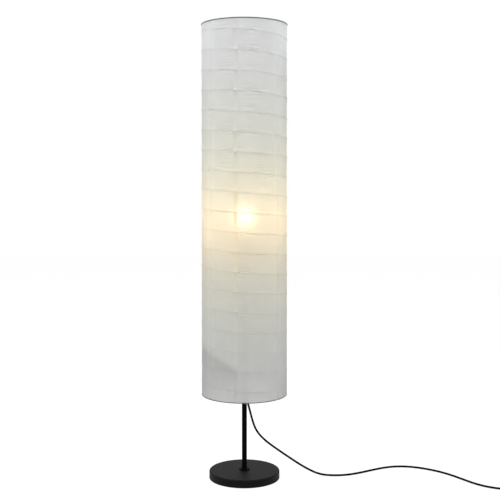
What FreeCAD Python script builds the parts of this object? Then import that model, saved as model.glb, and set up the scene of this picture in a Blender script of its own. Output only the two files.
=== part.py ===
import FreeCAD, Part
import math
import os
import re

import Sketcher
from FreeCAD import Placement, Rotation, Vector

# Paper lantern floor lamp, in millimetres. +Z is up, +X is the side where the cord leaves, -Y is the front.
# The origin is the centre of the base's underside, on the floor.
# Heights are worked out from the floor up, so a longer pole or a taller base carries along all it holds.

SIZES = [
    # base
    ("base_radius", 92.0, "outside of the pressed steel cover"),
    ("base_height", 21.0, "top of the cover above the floor"),
    ("base_wall", 1.2, "sheet of the cover"),
    ("base_edge", 3.0, "rounding of the cover's top edge"),
    ("cover_lift", 1.0, "gap under the cover's skirt"),
    ("pad_thickness", 2.0, "foam pad under the weight"),
    ("pad_radius", 86.0, "outside of the foam pad"),
    ("pad_bore", 17.0, "way through the pad to the bolt"),
    ("weight_side_gap", 0.5, "between the weight and the cover's skirt"),
    ("recess_radius", 14.0, "bolt recess in the weight"),
    ("recess_depth", 9.5, "bolt recess in the weight"),
    ("bolt_radius", 4.0, "shank of the bolt that holds the pole"),
    ("bolt_slack", 0.3, "radial, round the shank"),
    ("bolt_head_across", 13.0, "across the flats"),
    ("bolt_head_height", 5.3, "hexagon head"),
    ("bolt_reach", 22.0, "length of the shank inside the pole"),
    ("washer_radius", 12.0, "large flat washer"),
    ("washer_thickness", 1.6, "large flat washer"),
    ("lock_washer_radius", 7.0, "split washer"),
    ("lock_washer_thickness", 2.0, "split washer"),
    ("lock_washer_arc", 350.0, "degrees, the rest is the split"),
    ("collar_radius", 13.0, "collar at the pole's foot"),
    ("collar_height", 3.2, "collar at the pole's foot"),
    ("collar_floor", 1.2, "metal under the pole's foot"),
    # pole
    ("pole_radius", 6.5, "outside of the tube"),
    ("pole_wall", 1.0, "wall of the tube"),
    ("lower_pole_length", 300.0, "foot to joint"),
    ("upper_pole_length", 244.0, "joint to lampholder"),
    ("foot_plug_length", 30.0, "threaded insert in the pole's foot"),
    ("joiner_length", 50.0, "spigot that joins the two tubes"),
    ("joiner_bore", 3.6, "way for the cord"),
    ("fit_slack", 0.05, "radial, between pieces pressed or screwed together"),
    # cord outlet in the pole
    ("outlet_reach", 8.6, "from the pole's axis to the mouth of the gland"),
    ("outlet_height", 199.3, "mouth of the gland above the floor"),
    ("outlet_tilt", 14.8, "degrees, gland's axis off the vertical"),
    ("gland_length", 22.0, "along its own axis"),
    ("gland_root", 4.0, "radius inside the pole"),
    ("gland_tip", 3.3, "radius at the mouth"),
    ("slot_slack", 0.1, "radial, round the gland in its slot"),
    ("slot_run_out", 12.0, "slot's length past the mouth"),
    ("slot_run_in", 9.0, "slot's length past the gland's other end"),
    # lampholder
    ("nipple_radius", 5.0, "threaded tube on the pole's top"),
    ("nipple_bore", 3.5, "way for the cord"),
    ("nipple_seat", 16.0, "length inside the pole"),
    ("nipple_reach", 10.0, "length above the pole"),
    ("nut_across", 14.0, "across the flats"),
    ("nut_height", 3.0, "thin nut on the nipple"),
    ("holder_radius", 19.5, "outside of the lampholder"),
    ("holder_wall", 1.6, "moulded wall"),
    ("cap_neck", 11.0, "radius of the cap's bottom"),
    ("cap_floor", 2.5, "threaded floor of the cap"),
    ("cap_slope", 12.0, "height of the cap's cone"),
    ("cap_height", 20.0, "whole cap"),
    ("body_height", 36.0, "lampholder's body above its cap"),
    ("insulator_thickness", 7.0, "terminal block"),
    ("terminal_spacing", 20.0, "between the two screws"),
    ("terminal_head", 2.5, "radius of the screw head"),
    ("terminal_head_height", 2.0, "screw head"),
    ("terminal_shank", 1.5, "radius of the thread"),
    ("terminal_depth", 5.0, "thread inside the block"),
    ("lead_radius", 0.9, "insulated conductor"),
    ("lead_spacing", 2.8, "between conductors where they leave the cord"),
    ("shell_radius", 13.85, "outside of the brass screw shell"),
    ("shell_wall", 0.4, "brass sheet"),
    ("shell_height", 26.0, "screw shell above the terminal block"),
    ("shell_gap", 0.35, "between the shell and the moulded body"),
    ("tongue_width", 6.0, "centre contact"),
    ("tongue_height", 4.0, "centre contact above the terminal block"),
    ("tongue_sheet", 0.6, "brass strip"),
    ("tongue_reach", 5.0, "foot to crest, along the strip"),
    ("ring_flange", 25.0, "outside of the retaining ring"),
    ("ring_height", 6.0, "retaining ring"),
    ("ring_rise", 12.0, "retaining ring above the cap"),
    # bulb
    ("contact_gap", 0.3, "between the bulb and the centre contact"),
    ("tip_radius", 4.8, "contact on the bulb's end"),
    ("tip_height", 2.5, "contact on the bulb's end"),
    ("tip_gap", 0.1, "between the contact and the cap"),
    ("bulb_cap_radius", 13.15, "screw cap over its thread"),
    ("bulb_cap_end", 7.0, "radius of the cap's end"),
    ("bulb_cap_cone", 4.5, "height of the cap's end cone"),
    ("bulb_cap_length", 24.0, "whole cap"),
    ("bulb_rise", 78.0, "end of the bulb to the middle of its globe"),
    ("bulb_radius", 30.0, "globe"),
    ("bulb_wall", 1.2, "opal globe"),
    ("bulb_rim_drop", 18.0, "middle of the globe to its rim"),
    ("housing_wall", 1.5, "moulded housing"),
    ("board_thickness", 1.6, "round board with the light sources"),
    # shade carrier
    ("saddle_thickness", 1.6, "steel strip under the lampholder"),
    ("saddle_width", 14.0, "steel strip"),
    ("ear_radius", 2.0, "upright stud at each end of the saddle"),
    ("ear_height", 14.0, "upright stud"),
    ("harp_half_width", 38.0, "pole's axis to an upright of the wire"),
    ("harp_wire_radius", 1.5, "carrier wire"),
    ("harp_corner", 28.0, "bend of the wire at the top"),
    ("ferrule_radius", 3.4, "sleeve that locks the wire to the stud"),
    ("ferrule_length", 24.0, "sleeve"),
    ("ferrule_lift", 5.0, "sleeve above the saddle"),
    ("stud_block_radius", 5.0, "block that the wire runs through"),
    ("stud_block_drop", 3.0, "block below the wire's axis"),
    ("stud_neck", 4.5, "wire's axis to the hub"),
    ("stem_radius", 3.0, "thread through the hub"),
    ("stem_length", 9.5, "thread above the block"),
    ("hub_radius", 11.0, "plate in the middle of the top frame"),
    ("hub_thickness", 1.6, "plate"),
    ("hub_drop", 13.0, "shade's top to the underside of the hub"),
    ("finial_washer_radius", 6.0, "under the cap nut"),
    ("finial_washer_thickness", 1.0, "under the cap nut"),
    ("finial_across", 10.0, "across the flats"),
    ("finial_hex_height", 5.0, "flats of the cap nut"),
    ("finial_dome_radius", 4.6, "dome of the cap nut"),
    ("finial_bore_depth", 7.5, "thread inside the cap nut"),
    # shade
    ("shade_bottom", 222.0, "above the floor"),
    ("shade_length", 950.0, "bottom rim to top rim"),
    ("shade_top_radius", 109.0, "outside of the paper"),
    ("shade_bottom_radius", 111.0, "outside of the paper"),
    ("paper_thickness", 0.6, "stiff enough to hold its shape"),
    ("skin_gap", 0.3, "between the paper and the wires"),
    ("top_wire_radius", 1.5, "ring on the paper's top edge"),
    ("top_overhang", 1.0, "ring's outside beyond the paper"),
    ("bottom_wire_radius", 1.2, "ring under the paper's bottom edge"),
    ("bottom_overhang", 0.4, "ring's outside beyond the paper"),
    ("arm_wire_radius", 1.2, "arms of both frames"),
    ("arm_bend", 84.0, "pole's axis to the bend of a top arm"),
    ("arm_bend_radius", 12.0, "bend of a top arm"),
    ("arm_root", 8.0, "pole's axis to a top arm's inner end"),
    ("loop_radius", 10.5, "loop of the bottom frame round the pole"),
    ("frame_arms", 3.0, "arms of each frame"),
    ("rib_wire_radius", 0.7, "wire that winds down inside the paper"),
    ("rib_pitch", 49.5, "height of one turn"),
    ("first_rib_drop", 29.2, "top rim to the first turn at the front"),
    ("seam_bearing", 258.6, "degrees from +X, the middle of the seam"),
    ("seam_width", 10.0, "overlap of the paper"),
    ("seam_thickness", 0.3, "second layer of paper"),
    ("seam_gap", 0.1, "glue line"),
    # cord and what is on it
    ("cord_radius", 2.7, "round two-core cord"),
    ("outlet_run", 20.8, "cord in line with the gland"),
    ("inlet_run", 24.0, "cord in line with the switch"),
    ("short_run", 8.0, "cord in line with the coil, the plug and the switch's outlet"),
    ("relief_length", 22.0, "moulded strain relief on the switch"),
    ("relief_root", 4.0, "radius at the housing"),
    ("relief_tip", 3.2, "radius where the cord leaves"),
    ("switch_x", 735.7, "middle of the foot switch"),
    ("switch_y", -134.5, "middle of the foot switch"),
    ("switch_bearing", -16.0, "degrees, its long side from +X"),
    ("switch_length", 76.0, "case"),
    ("switch_width", 38.0, "case"),
    ("switch_height", 21.0, "case without its button"),
    ("switch_split", 9.0, "height of the case's lower half"),
    ("switch_wall", 2.0, "moulded wall"),
    ("switch_corner", 12.0, "upright corners of the case"),
    ("switch_edge", 4.0, "rounding of the case's top edge"),
    ("entry_height", 4.2, "cord's axis where it enters the switch"),
    ("button_radius", 11.0, "push button"),
    ("button_rise", 4.0, "button above the case"),
    ("button_edge", 1.5, "rounding of the button's top edge"),
    ("button_slack", 0.3, "round the button in its hole"),
    ("button_lip", 1.8, "button's flange beyond its side"),
    ("button_lip_height", 2.0, "flange"),
    ("button_lip_gap", 0.3, "flange below the case"),
    ("module_length", 26.0, "contact block in the switch"),
    ("module_width", 20.0, "contact block"),
    ("module_height", 7.0, "contact block"),
    ("spring_radius", 6.5, "button spring, to the wire's middle"),
    ("spring_wire", 0.5, "radius of the spring wire"),
    ("spring_turns", 4.0, "button spring"),
    ("screw_spacing", 56.0, "between the two case screws"),
    ("screw_head", 2.8, "radius"),
    ("screw_head_height", 1.5, "case screw"),
    ("screw_shank", 1.4, "radius"),
    ("screw_length", 12.0, "thread above the head"),
    ("screw_boss", 3.4, "radius of the post that the screw bites into"),
    ("screw_slack", 0.2, "radial, round head and shank"),
    ("coil_radius", 40.0, "outermost turn of the put-away cord"),
    ("coil_pitch", 5.9, "turn to turn, and layer to layer"),
    ("coil_turns", 5.5, "whole coil, in and out again"),
    ("coil_lead_in", 30.0, "switch's strain relief to the first turn"),
    ("plug_run", 30.0, "last turn to the plug's strain relief"),
    ("plug_relief_length", 20.0, "strain relief on the plug"),
    ("plug_relief_root", 4.6, "radius at the plug"),
    ("plug_length", 36.0, "body"),
    ("plug_width", 35.0, "body at the pins"),
    ("plug_waist", 13.0, "body at the cord"),
    ("plug_shoulder", 17.0, "cord end to the full width"),
    ("plug_thickness", 13.7, "body"),
    ("plug_edge", 3.0, "rounding of the body"),
    ("pin_radius", 2.0, "contact pin"),
    ("pin_length", 19.0, "contact pin"),
    ("pin_spacing", 18.6, "between the pins"),
]

# Heights and radii that follow from the sizes, in the order in which they build on each other.
LEVELS = {
    "cover_inside": "base_height - base_wall",
    "recess_ceiling": "pad_thickness + recess_depth",
    "washer_bottom": "recess_ceiling - washer_thickness",
    "lock_washer_bottom": "washer_bottom - lock_washer_thickness",
    "bolt_bottom": "lock_washer_bottom - bolt_head_height",
    "pole_foot": "base_height + collar_floor",
    "pole_joint": "pole_foot + lower_pole_length",
    "pole_top": "pole_joint + upper_pole_length",
    "pole_bore": "pole_radius - pole_wall",
    "insert_radius": "pole_bore - fit_slack",
    "bolt_hole": "bolt_radius + bolt_slack",
    "nut_bottom": "pole_top + saddle_thickness",
    "cap_bottom": "nut_bottom + nut_height",
    "cap_top": "cap_bottom + cap_height",
    "insulator_top": "cap_top + insulator_thickness",
    "holder_bore": "holder_radius - holder_wall",
    "shell_seat": "shell_radius + shell_gap",
    "bulb_bottom": "insulator_top + tongue_height + contact_gap",
    "bulb_cap_bottom": "bulb_bottom + tip_height + tip_gap",
    "bulb_cap_top": "bulb_cap_bottom + bulb_cap_length",
    "bulb_middle": "bulb_bottom + bulb_rise",
    "bulb_rim": "bulb_middle - bulb_rim_drop",
    "bulb_rim_radius": "sqrt(bulb_radius ^ 2 - bulb_rim_drop ^ 2)",
    "shade_top": "shade_bottom + shade_length",
    "hub_bottom": "shade_top - hub_drop",
    "hub_top": "hub_bottom + hub_thickness",
    "harp_top": "hub_bottom - stud_neck",
    "harp_foot": "nut_bottom + ear_height",
    "finial_bottom": "hub_top + finial_washer_thickness",
    "top_ring_radius": "shade_top_radius + top_overhang - top_wire_radius",
    "bottom_ring_radius": "shade_bottom_radius + bottom_overhang - bottom_wire_radius",
    "top_ring_height": "shade_top - top_wire_radius",
    "bottom_ring_height": "shade_bottom + bottom_wire_radius",
    "paper_top": "shade_top - 2 * top_wire_radius - skin_gap",
    "paper_bottom": "shade_bottom + 2 * bottom_wire_radius + skin_gap",
    "button_lip_top": "switch_height - switch_wall - button_lip_gap",
    "button_lip_bottom": "button_lip_top - button_lip_height",
    "module_top": "switch_wall + module_height",
    "plug_axis": "plug_thickness / 2",
}

doc = FreeCAD.newDocument("paper_lantern_floor_lamp")
sheet = doc.addObject("Spreadsheet::Sheet", "Sizes")
for row, (alias, value, meaning) in enumerate(SIZES, start=1):
    sheet.set(f"A{row}", alias)
    sheet.set(f"B{row}", str(value))
    sheet.set(f"C{row}", meaning)
    sheet.setAlias(f"B{row}", alias)
doc.recompute()

PLACES = {alias: f"Sizes.{alias}" for alias, _, _ in SIZES}
PLACES.update({name: f"Levels.{name}" for name in LEVELS})


def written(expression):
    """The expression with every size's name pointed at the sheet, and every level's at the levels."""
    return re.sub(r"[a-z]\w*", lambda found: PLACES.get(found.group(), found.group()), str(expression))


levels = doc.addObject("App::VarSet", "Levels")
for name, expression in LEVELS.items():
    levels.addProperty("App::PropertyFloat", name, "Heights and radii", "")
    levels.setExpression(name, written(expression))
    doc.recompute()
levels.addProperty("App::PropertyFloat", "worked_out", "Heights and radii", "last answer of number()")


def number(expression):
    """What an expression of sizes and levels comes to now."""
    levels.setExpression("worked_out", written(expression))
    levels.recompute()
    return levels.worked_out


def bind(thing, **bound):
    """Binds properties to expressions. A dot in a property's path is written as two underscores."""
    for path, expression in bound.items():
        thing.setExpression(path.replace("__", "."), written(expression))
    return thing


# ---------------------------------------------------------------- bodies turned or pushed out of a sketch


def new_body(label):
    body = doc.addObject("PartDesign::Body", label)
    body.Label = label
    return body


def sketch_on(body, role, name, lift=None):
    """A sketch on one of the body's own planes, lifted off it by an expression where one is given."""
    sketch = body.newObject("Sketcher::SketchObject", name)
    plane = next(f for f in body.Origin.OriginFeatures if f.Role == role)
    sketch.AttachmentSupport = [(plane, "")]
    sketch.MapMode = "FlatFace"
    if lift is not None:
        bind(sketch, AttachmentOffset__Base__z=lift)
    return sketch


def hold(sketch, direction, piece, end, expression):
    """Sets how far a point of the sketch lies from the origin along one direction."""
    value = number(expression)
    if abs(value) < 1e-9:
        axis = -2 if direction == "DistanceX" else -1
        sketch.addConstraint(Sketcher.Constraint("PointOnObject", piece, end, axis))
        return
    ends = (-1, 1, piece, end) if value > 0 else (piece, end, -1, 1)
    wanted = expression if value > 0 else f"-({expression})"
    index = sketch.addConstraint(Sketcher.Constraint(direction, *ends, abs(value)))
    sketch.setExpression(f"Constraints[{index}]", written(wanted))


def draw_polygon(sketch, corners):
    """A closed outline through corners, each a pair of expressions."""
    first = sketch.GeometryCount
    points = [Vector(number(x), number(y), 0) for x, y in corners]
    count = len(points)
    for i, point in enumerate(points):
        sketch.addGeometry(Part.LineSegment(point, points[(i + 1) % count]))
    for i in range(count):
        after = first + (i + 1) % count
        sketch.addConstraint(Sketcher.Constraint("Coincident", first + i, 2, after, 1))
    for i, (x, y) in enumerate(corners):
        hold(sketch, "DistanceX", first + i, 1, x)
        hold(sketch, "DistanceY", first + i, 1, y)


def draw_circle(sketch, x, y, radius):
    index = sketch.addGeometry(
        Part.Circle(Vector(number(x), number(y), 0), Vector(0, 0, 1), number(radius))
    )
    hold(sketch, "DistanceX", index, 3, x)
    hold(sketch, "DistanceY", index, 3, y)
    constraint = sketch.addConstraint(Sketcher.Constraint("Radius", index, number(radius)))
    sketch.setExpression(f"Constraints[{constraint}]", written(radius))


def turn_sketch(body, sketch, name, angle=360, midplane=False):
    """Turns the sketch round the body's Z axis."""
    doc.recompute()
    turn = body.newObject("PartDesign::Revolution", name)
    turn.Profile = sketch
    turn.ReferenceAxis = (sketch, ["V_Axis"])
    turn.Midplane = midplane
    turn.Angle = 360
    if angle != 360:
        bind(turn, Angle=angle)
    doc.recompute()
    return turn


def revolved(label, corners, angle=360, midplane=False):
    """A body turned from an outline of (radius, height) corners."""
    body = new_body(label)
    sketch = sketch_on(body, "XZ_Plane", f"{label}_outline")
    draw_polygon(sketch, corners)
    turn_sketch(body, sketch, f"{label}_turn", angle, midplane)
    return body


def sleeve(label, inner, outer, bottom, top):
    """A plain tube or washer."""
    return revolved(label, [(inner, bottom), (outer, bottom), (outer, top), (inner, top)])


def pad(body, sketch, name, length, reverse=False):
    doc.recompute()
    feature = body.newObject("PartDesign::Pad", name)
    feature.Profile = sketch
    feature.Reversed = reverse
    bind(feature, Length=length)
    doc.recompute()
    return feature


def pocket(body, sketch, name, length, reverse=False):
    """A pocket, which has to take something away."""
    before = body.Shape.Volume
    doc.recompute()
    feature = body.newObject("PartDesign::Pocket", name)
    feature.Profile = sketch
    feature.Reversed = reverse
    bind(feature, Length=length)
    doc.recompute()
    if not body.Shape.Volume < before - 1e-6:
        raise RuntimeError(f"{name} cuts nothing")
    return feature


def edge_names(shape, wanted):
    """Names of the edges for which wanted(edge) holds."""
    names = [f"Edge{i}" for i, edge in enumerate(shape.Edges, start=1) if wanted(edge)]
    if not names:
        raise RuntimeError("no such edge")
    return names


def round_edges(body, base, name, radius, wanted):
    feature = body.newObject("PartDesign::Fillet", name)
    feature.Base = (base, edge_names(base.Shape, wanted))
    bind(feature, Radius=radius)
    doc.recompute()
    return feature


def polar(body, feature, name, count):
    """Repeats a feature round the body's Z axis."""
    axis = next(f for f in body.Origin.OriginFeatures if f.Role == "Z_Axis")
    pattern = body.newObject("PartDesign::PolarPattern", name)
    pattern.Originals = [feature]
    pattern.Axis = (axis, [""])
    pattern.Angle = 360
    bind(pattern, Occurrences=count)
    body.Tip = pattern
    doc.recompute()
    return pattern


# ---------------------------------------------------------------- plain solids and what is cut or joined


def primitive(kind, name, **bound):
    """A Part primitive with its sizes bound, made about the origin."""
    return bind(doc.addObject(f"Part::{kind}", name), **bound)


def solid(kind, name, x="0", y="0", z="0", **bound):
    """A Part primitive with its sizes and its place bound."""
    thing = primitive(kind, name, **bound)
    return bind(thing, Placement__Base__x=x, Placement__Base__y=y, Placement__Base__z=z)


def cut(label, base, *tools):
    """base less the tools, one after another."""
    for i, tool in enumerate(tools, start=1):
        last = i == len(tools)
        feature = doc.addObject("Part::Cut", label if last else f"{label}_cut{i}")
        feature.Base = base
        feature.Tool = tool
        base = feature
    base.Label = label
    return base


def fuse(label, *things):
    feature = doc.addObject("Part::MultiFuse", label)
    feature.Shapes = list(things)
    feature.Label = label
    return feature


def group(label, *things):
    """Separate solids that share a node."""
    feature = doc.addObject("Part::Compound", label)
    feature.Links = list(things)
    feature.Label = label
    return feature


def prism(name, across, height, z):
    """A hexagonal prism, from its size across the flats."""
    thing = solid("Prism", name, z=z, Circumradius=f"{across} / 2 / cos(30)", Height=height)
    thing.Polygon = 6
    return thing


def lay_along(thing, x, y, bearing):
    """Places a thing that is made about the origin, and turns it round Z."""
    thing.Placement = Placement(Vector(0, 0, 0), Rotation(Vector(0, 0, 1), 1))
    bind(thing, Placement__Base__x=x, Placement__Base__y=y, Placement__Rotation__Angle=bearing)
    return thing


# ---------------------------------------------------------------- tubes along a route, and wound tubes


def arc_in_corner(start, corner, end):
    """The arc that leaves start towards corner and arrives at end from it, both as far from the corner."""
    middle = (start + end) / 2
    half_chord = (end - start).Length / 2
    half_turn = math.acos(half_chord / (corner - start).Length)
    rise = half_chord * math.tan(half_turn / 2)
    return Part.Arc(start, middle + (corner - middle).normalize() * rise, end).toShape()


def swept(edges, radius):
    """A round tube of one piece along tangent edges."""
    wire = Part.Wire(edges)
    start = edges[0].valueAt(edges[0].FirstParameter)
    heading = edges[0].tangentAt(edges[0].FirstParameter)
    circle = Part.Wire([Part.makeCircle(radius, start, heading)])
    shell = Part.BRepOffsetAPI.MakePipeShell(wire)
    shell.add(circle)
    shell.build()
    shell.makeSolid()
    shape = shell.shape()
    expected = math.pi * radius**2 * wire.Length
    if not shape.isValid() or abs(shape.Volume - expected) > 0.01 * expected:
        raise RuntimeError(f"tube of volume {shape.Volume:.1f} should have {expected:.1f}")
    return shape, wire.Length


ARC_SHARE = 0.45

# Where -Y lies in a turn that is counted anticlockwise from +X.
FRONT = 0.75


def routed_tube(label, route, radius, kept_straight=0):
    """A cord's tube: straight runs joined by arcs as large as the two runs at each point allow.

    kept_straight is the length at the start that an arc may not take.
    """
    points = [Vector(*point) for point in route]
    edges, radii, last = [], [], points[0]
    for before, corner, after in zip(points, points[1:], points[2:]):
        into, out = corner - before, after - corner
        free = (corner - points[0]).Length - kept_straight
        reach = min(ARC_SHARE * min(into.Length, out.Length), free)
        turn = into.getAngle(out)
        radii.append(reach / math.tan(turn / 2))
        arc_start = corner - into.normalize() * reach
        arc_end = corner + out.normalize() * reach
        edges.append(Part.LineSegment(last, arc_start).toShape())
        edges.append(arc_in_corner(arc_start, corner, arc_end))
        last = arc_end
    edges.append(Part.LineSegment(last, points[-1]).toShape())
    shape, length = swept(edges, radius)
    listed = ", ".join(f"{r:.0f}" for r in radii)
    print(f"{label}: length {length:.1f}, radii {listed}, volume {shape.Volume:.1f}")
    return feature_of(label, shape)


def feature_of(label, shape):
    feature = doc.addObject("Part::Feature", label)
    feature.Shape = shape
    feature.Label = label
    feature.Placement = Placement()
    return feature


def heading_at(place, t, step=0.02):
    """Direction of a winding at t turns, from points a little either side."""
    return (place(t + step) - place(t - step)).normalize()


def least_gap(edges, radius, apart):
    """Least clear distance of a wound tube to itself, on points more than `apart` along it apart."""
    spacing = radius
    points, along = [], []
    run = 0.0
    for edge in edges:
        count = max(2, int(edge.Length / spacing))
        for i in range(count):
            share = i / count
            points.append(edge.valueAt(edge.FirstParameter * (1 - share) + edge.LastParameter * share))
            along.append(run + edge.Length * share)
        run += edge.Length
    cell = 4 * radius + 2
    cells = {}
    for i, p in enumerate(points):
        cells.setdefault((int(p.x // cell), int(p.y // cell), int(p.z // cell)), []).append(i)
    least = None
    around = [(a, b, c) for a in (-1, 0, 1) for b in (-1, 0, 1) for c in (-1, 0, 1)]
    for (a, b, c), members in cells.items():
        near = [j for da, db, dc in around for j in cells.get((a + da, b + db, c + dc), [])]
        for i in members:
            for j in near:
                if along[j] - along[i] > apart:
                    gap = (points[i] - points[j]).Length - 2 * radius
                    least = gap if least is None else min(least, gap)
    return least


def wound_tube(label, place, turns, radius):
    """One unbroken tube through place(t), t in turns, on two arcs for each quarter turn.

    Both ends run straight for one diameter, as the tube points there.
    """
    quarters = max(2, math.ceil(turns * 4 - 1e-6))
    at = [turns * i / quarters for i in range(quarters + 1)]
    nodes = [(place(t), heading_at(place, t)) for t in at]
    straight = 2 * radius
    first, towards = nodes[0]
    edges = [Part.LineSegment(first - towards * straight, first).toShape()]
    for (p, u), (q, w) in zip(nodes, nodes[1:]):
        gap, both = q - p, u + w
        a, b, c = 4 - both.dot(both), 2 * gap.dot(both), -gap.dot(gap)
        leg = (-b + math.sqrt(b * b - 4 * a * c)) / (2 * a) if a > 1e-12 else -c / b
        corner, other = p + u * leg, q - w * leg
        middle = (corner + other) / 2
        edges.append(arc_in_corner(p, corner, middle))
        edges.append(arc_in_corner(middle, other, q))
    last, towards = nodes[-1]
    edges.append(Part.LineSegment(last, last + towards * straight).toShape())
    shape, length = swept(edges, radius)
    gap = least_gap(edges, radius, 8 * radius)
    told = "none within reach" if gap is None else f"{gap:.2f}"
    print(f"{label}: {turns:.2f} turns, length {length:.1f}, least gap to itself {told}")
    return feature_of(label, shape)


# ---------------------------------------------------------------- base


def make_base():
    weight_radius = "base_radius - base_wall - weight_side_gap"
    revolved(
        "base_pad",
        [("pad_bore", 0), ("pad_radius", 0), ("pad_radius", "pad_thickness"), ("pad_bore", "pad_thickness")],
    )
    revolved(
        "base_weight",
        [
            ("recess_radius", "pad_thickness"),
            (weight_radius, "pad_thickness"),
            (weight_radius, "cover_inside"),
            ("bolt_hole", "cover_inside"),
            ("bolt_hole", "recess_ceiling"),
            ("recess_radius", "recess_ceiling"),
        ],
    )
    cover = revolved(
        "base_cover",
        [
            ("base_radius - base_wall", "cover_lift"),
            ("base_radius", "cover_lift"),
            ("base_radius", "base_height"),
            ("bolt_hole", "base_height"),
            ("bolt_hole", "cover_inside"),
            ("base_radius - base_wall", "cover_inside"),
        ],
    )
    rim, top = number("base_radius"), number("base_height")
    round_edges(
        cover,
        cover.Tip,
        "base_cover_edge",
        "base_edge",
        lambda e: abs(e.BoundBox.ZMin - top) < 1e-6 and abs(e.BoundBox.XMax - rim) < 1e-6,
    )
    sleeve("base_washer", "bolt_hole", "washer_radius", "washer_bottom", "recess_ceiling")
    revolved(
        "base_lock_washer",
        [
            ("bolt_hole", "lock_washer_bottom"),
            ("lock_washer_radius", "lock_washer_bottom"),
            ("lock_washer_radius", "washer_bottom"),
            ("bolt_hole", "washer_bottom"),
        ],
        angle="lock_washer_arc",
    )
    head = prism("base_bolt_head", "bolt_head_across", "bolt_head_height", "bolt_bottom")
    shank = solid(
        "Cylinder",
        "base_bolt_shank",
        z="lock_washer_bottom",
        Radius="bolt_radius",
        Height="pole_foot + bolt_reach - lock_washer_bottom",
    )
    fuse("base_bolt", head, shank)
    revolved(
        "pole_collar",
        [
            ("bolt_hole", "base_height"),
            ("collar_radius", "base_height"),
            ("collar_radius", "base_height + collar_height"),
            ("pole_radius + fit_slack", "base_height + collar_height"),
            ("pole_radius + fit_slack", "pole_foot"),
            ("bolt_hole", "pole_foot"),
        ],
    )


# ---------------------------------------------------------------- pole


def outlet_point(back):
    """A point on the gland's axis, so far back into the pole from its mouth."""
    tilt = math.radians(sheet.outlet_tilt)
    return Vector(
        sheet.outlet_reach - back * math.sin(tilt), 0, sheet.outlet_height + back * math.cos(tilt)
    )


def lay_on_outlet(thing, back="0"):
    """Stands a primitive on the gland's axis, with its own +Z pointing back into the pole."""
    thing.Placement = Placement(Vector(0, 0, 0), Rotation(Vector(0, -1, 0), 1))
    bind(
        thing,
        Placement__Base__x=f"outlet_reach - ({back}) * sin(outlet_tilt)",
        Placement__Base__y="0",
        Placement__Base__z=f"outlet_height + ({back}) * cos(outlet_tilt)",
        Placement__Rotation__Angle="outlet_tilt",
    )
    return thing


def make_pole():
    outside = solid(
        "Cylinder", "lower_pole_tube", z="pole_foot", Radius="pole_radius", Height="lower_pole_length"
    )
    bore = solid(
        "Cylinder", "lower_pole_bore", z="pole_foot", Radius="pole_bore", Height="lower_pole_length"
    )
    slot = solid(
        "Cylinder",
        "lower_pole_slot",
        Radius="gland_root + slot_slack",
        Height="slot_run_out + gland_length + slot_run_in",
    )
    lay_on_outlet(slot, "-slot_run_out")
    cut("lower_pole", outside, bore, slot)
    sleeve("upper_pole", "pole_bore", "pole_radius", "pole_joint", "pole_top")
    plug_bore = "bolt_radius + fit_slack"
    sleeve("pole_foot_plug", plug_bore, "insert_radius", "pole_foot", "pole_foot + foot_plug_length")
    sleeve(
        "pole_joiner",
        "joiner_bore",
        "insert_radius",
        "pole_joint - joiner_length / 2",
        "pole_joint + joiner_length / 2",
    )
    cone = solid("Cone", "cord_gland_cone", Radius1="gland_tip", Radius2="gland_root", Height="gland_length")
    way = solid("Cylinder", "cord_gland_bore", Radius="cord_radius + fit_slack", Height="gland_length")
    cut("cord_gland", lay_on_outlet(cone), lay_on_outlet(way))
    mouth = outlet_point(0)
    bend = outlet_point(sheet.outlet_reach / math.sin(math.radians(sheet.outlet_tilt)))
    top = Vector(0, 0, levels.pole_top + sheet.nipple_reach)
    routed_tube("inner_cord", [mouth, bend, top], sheet.cord_radius, sheet.gland_length + sheet.fit_slack)


# ---------------------------------------------------------------- lampholder


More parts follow.
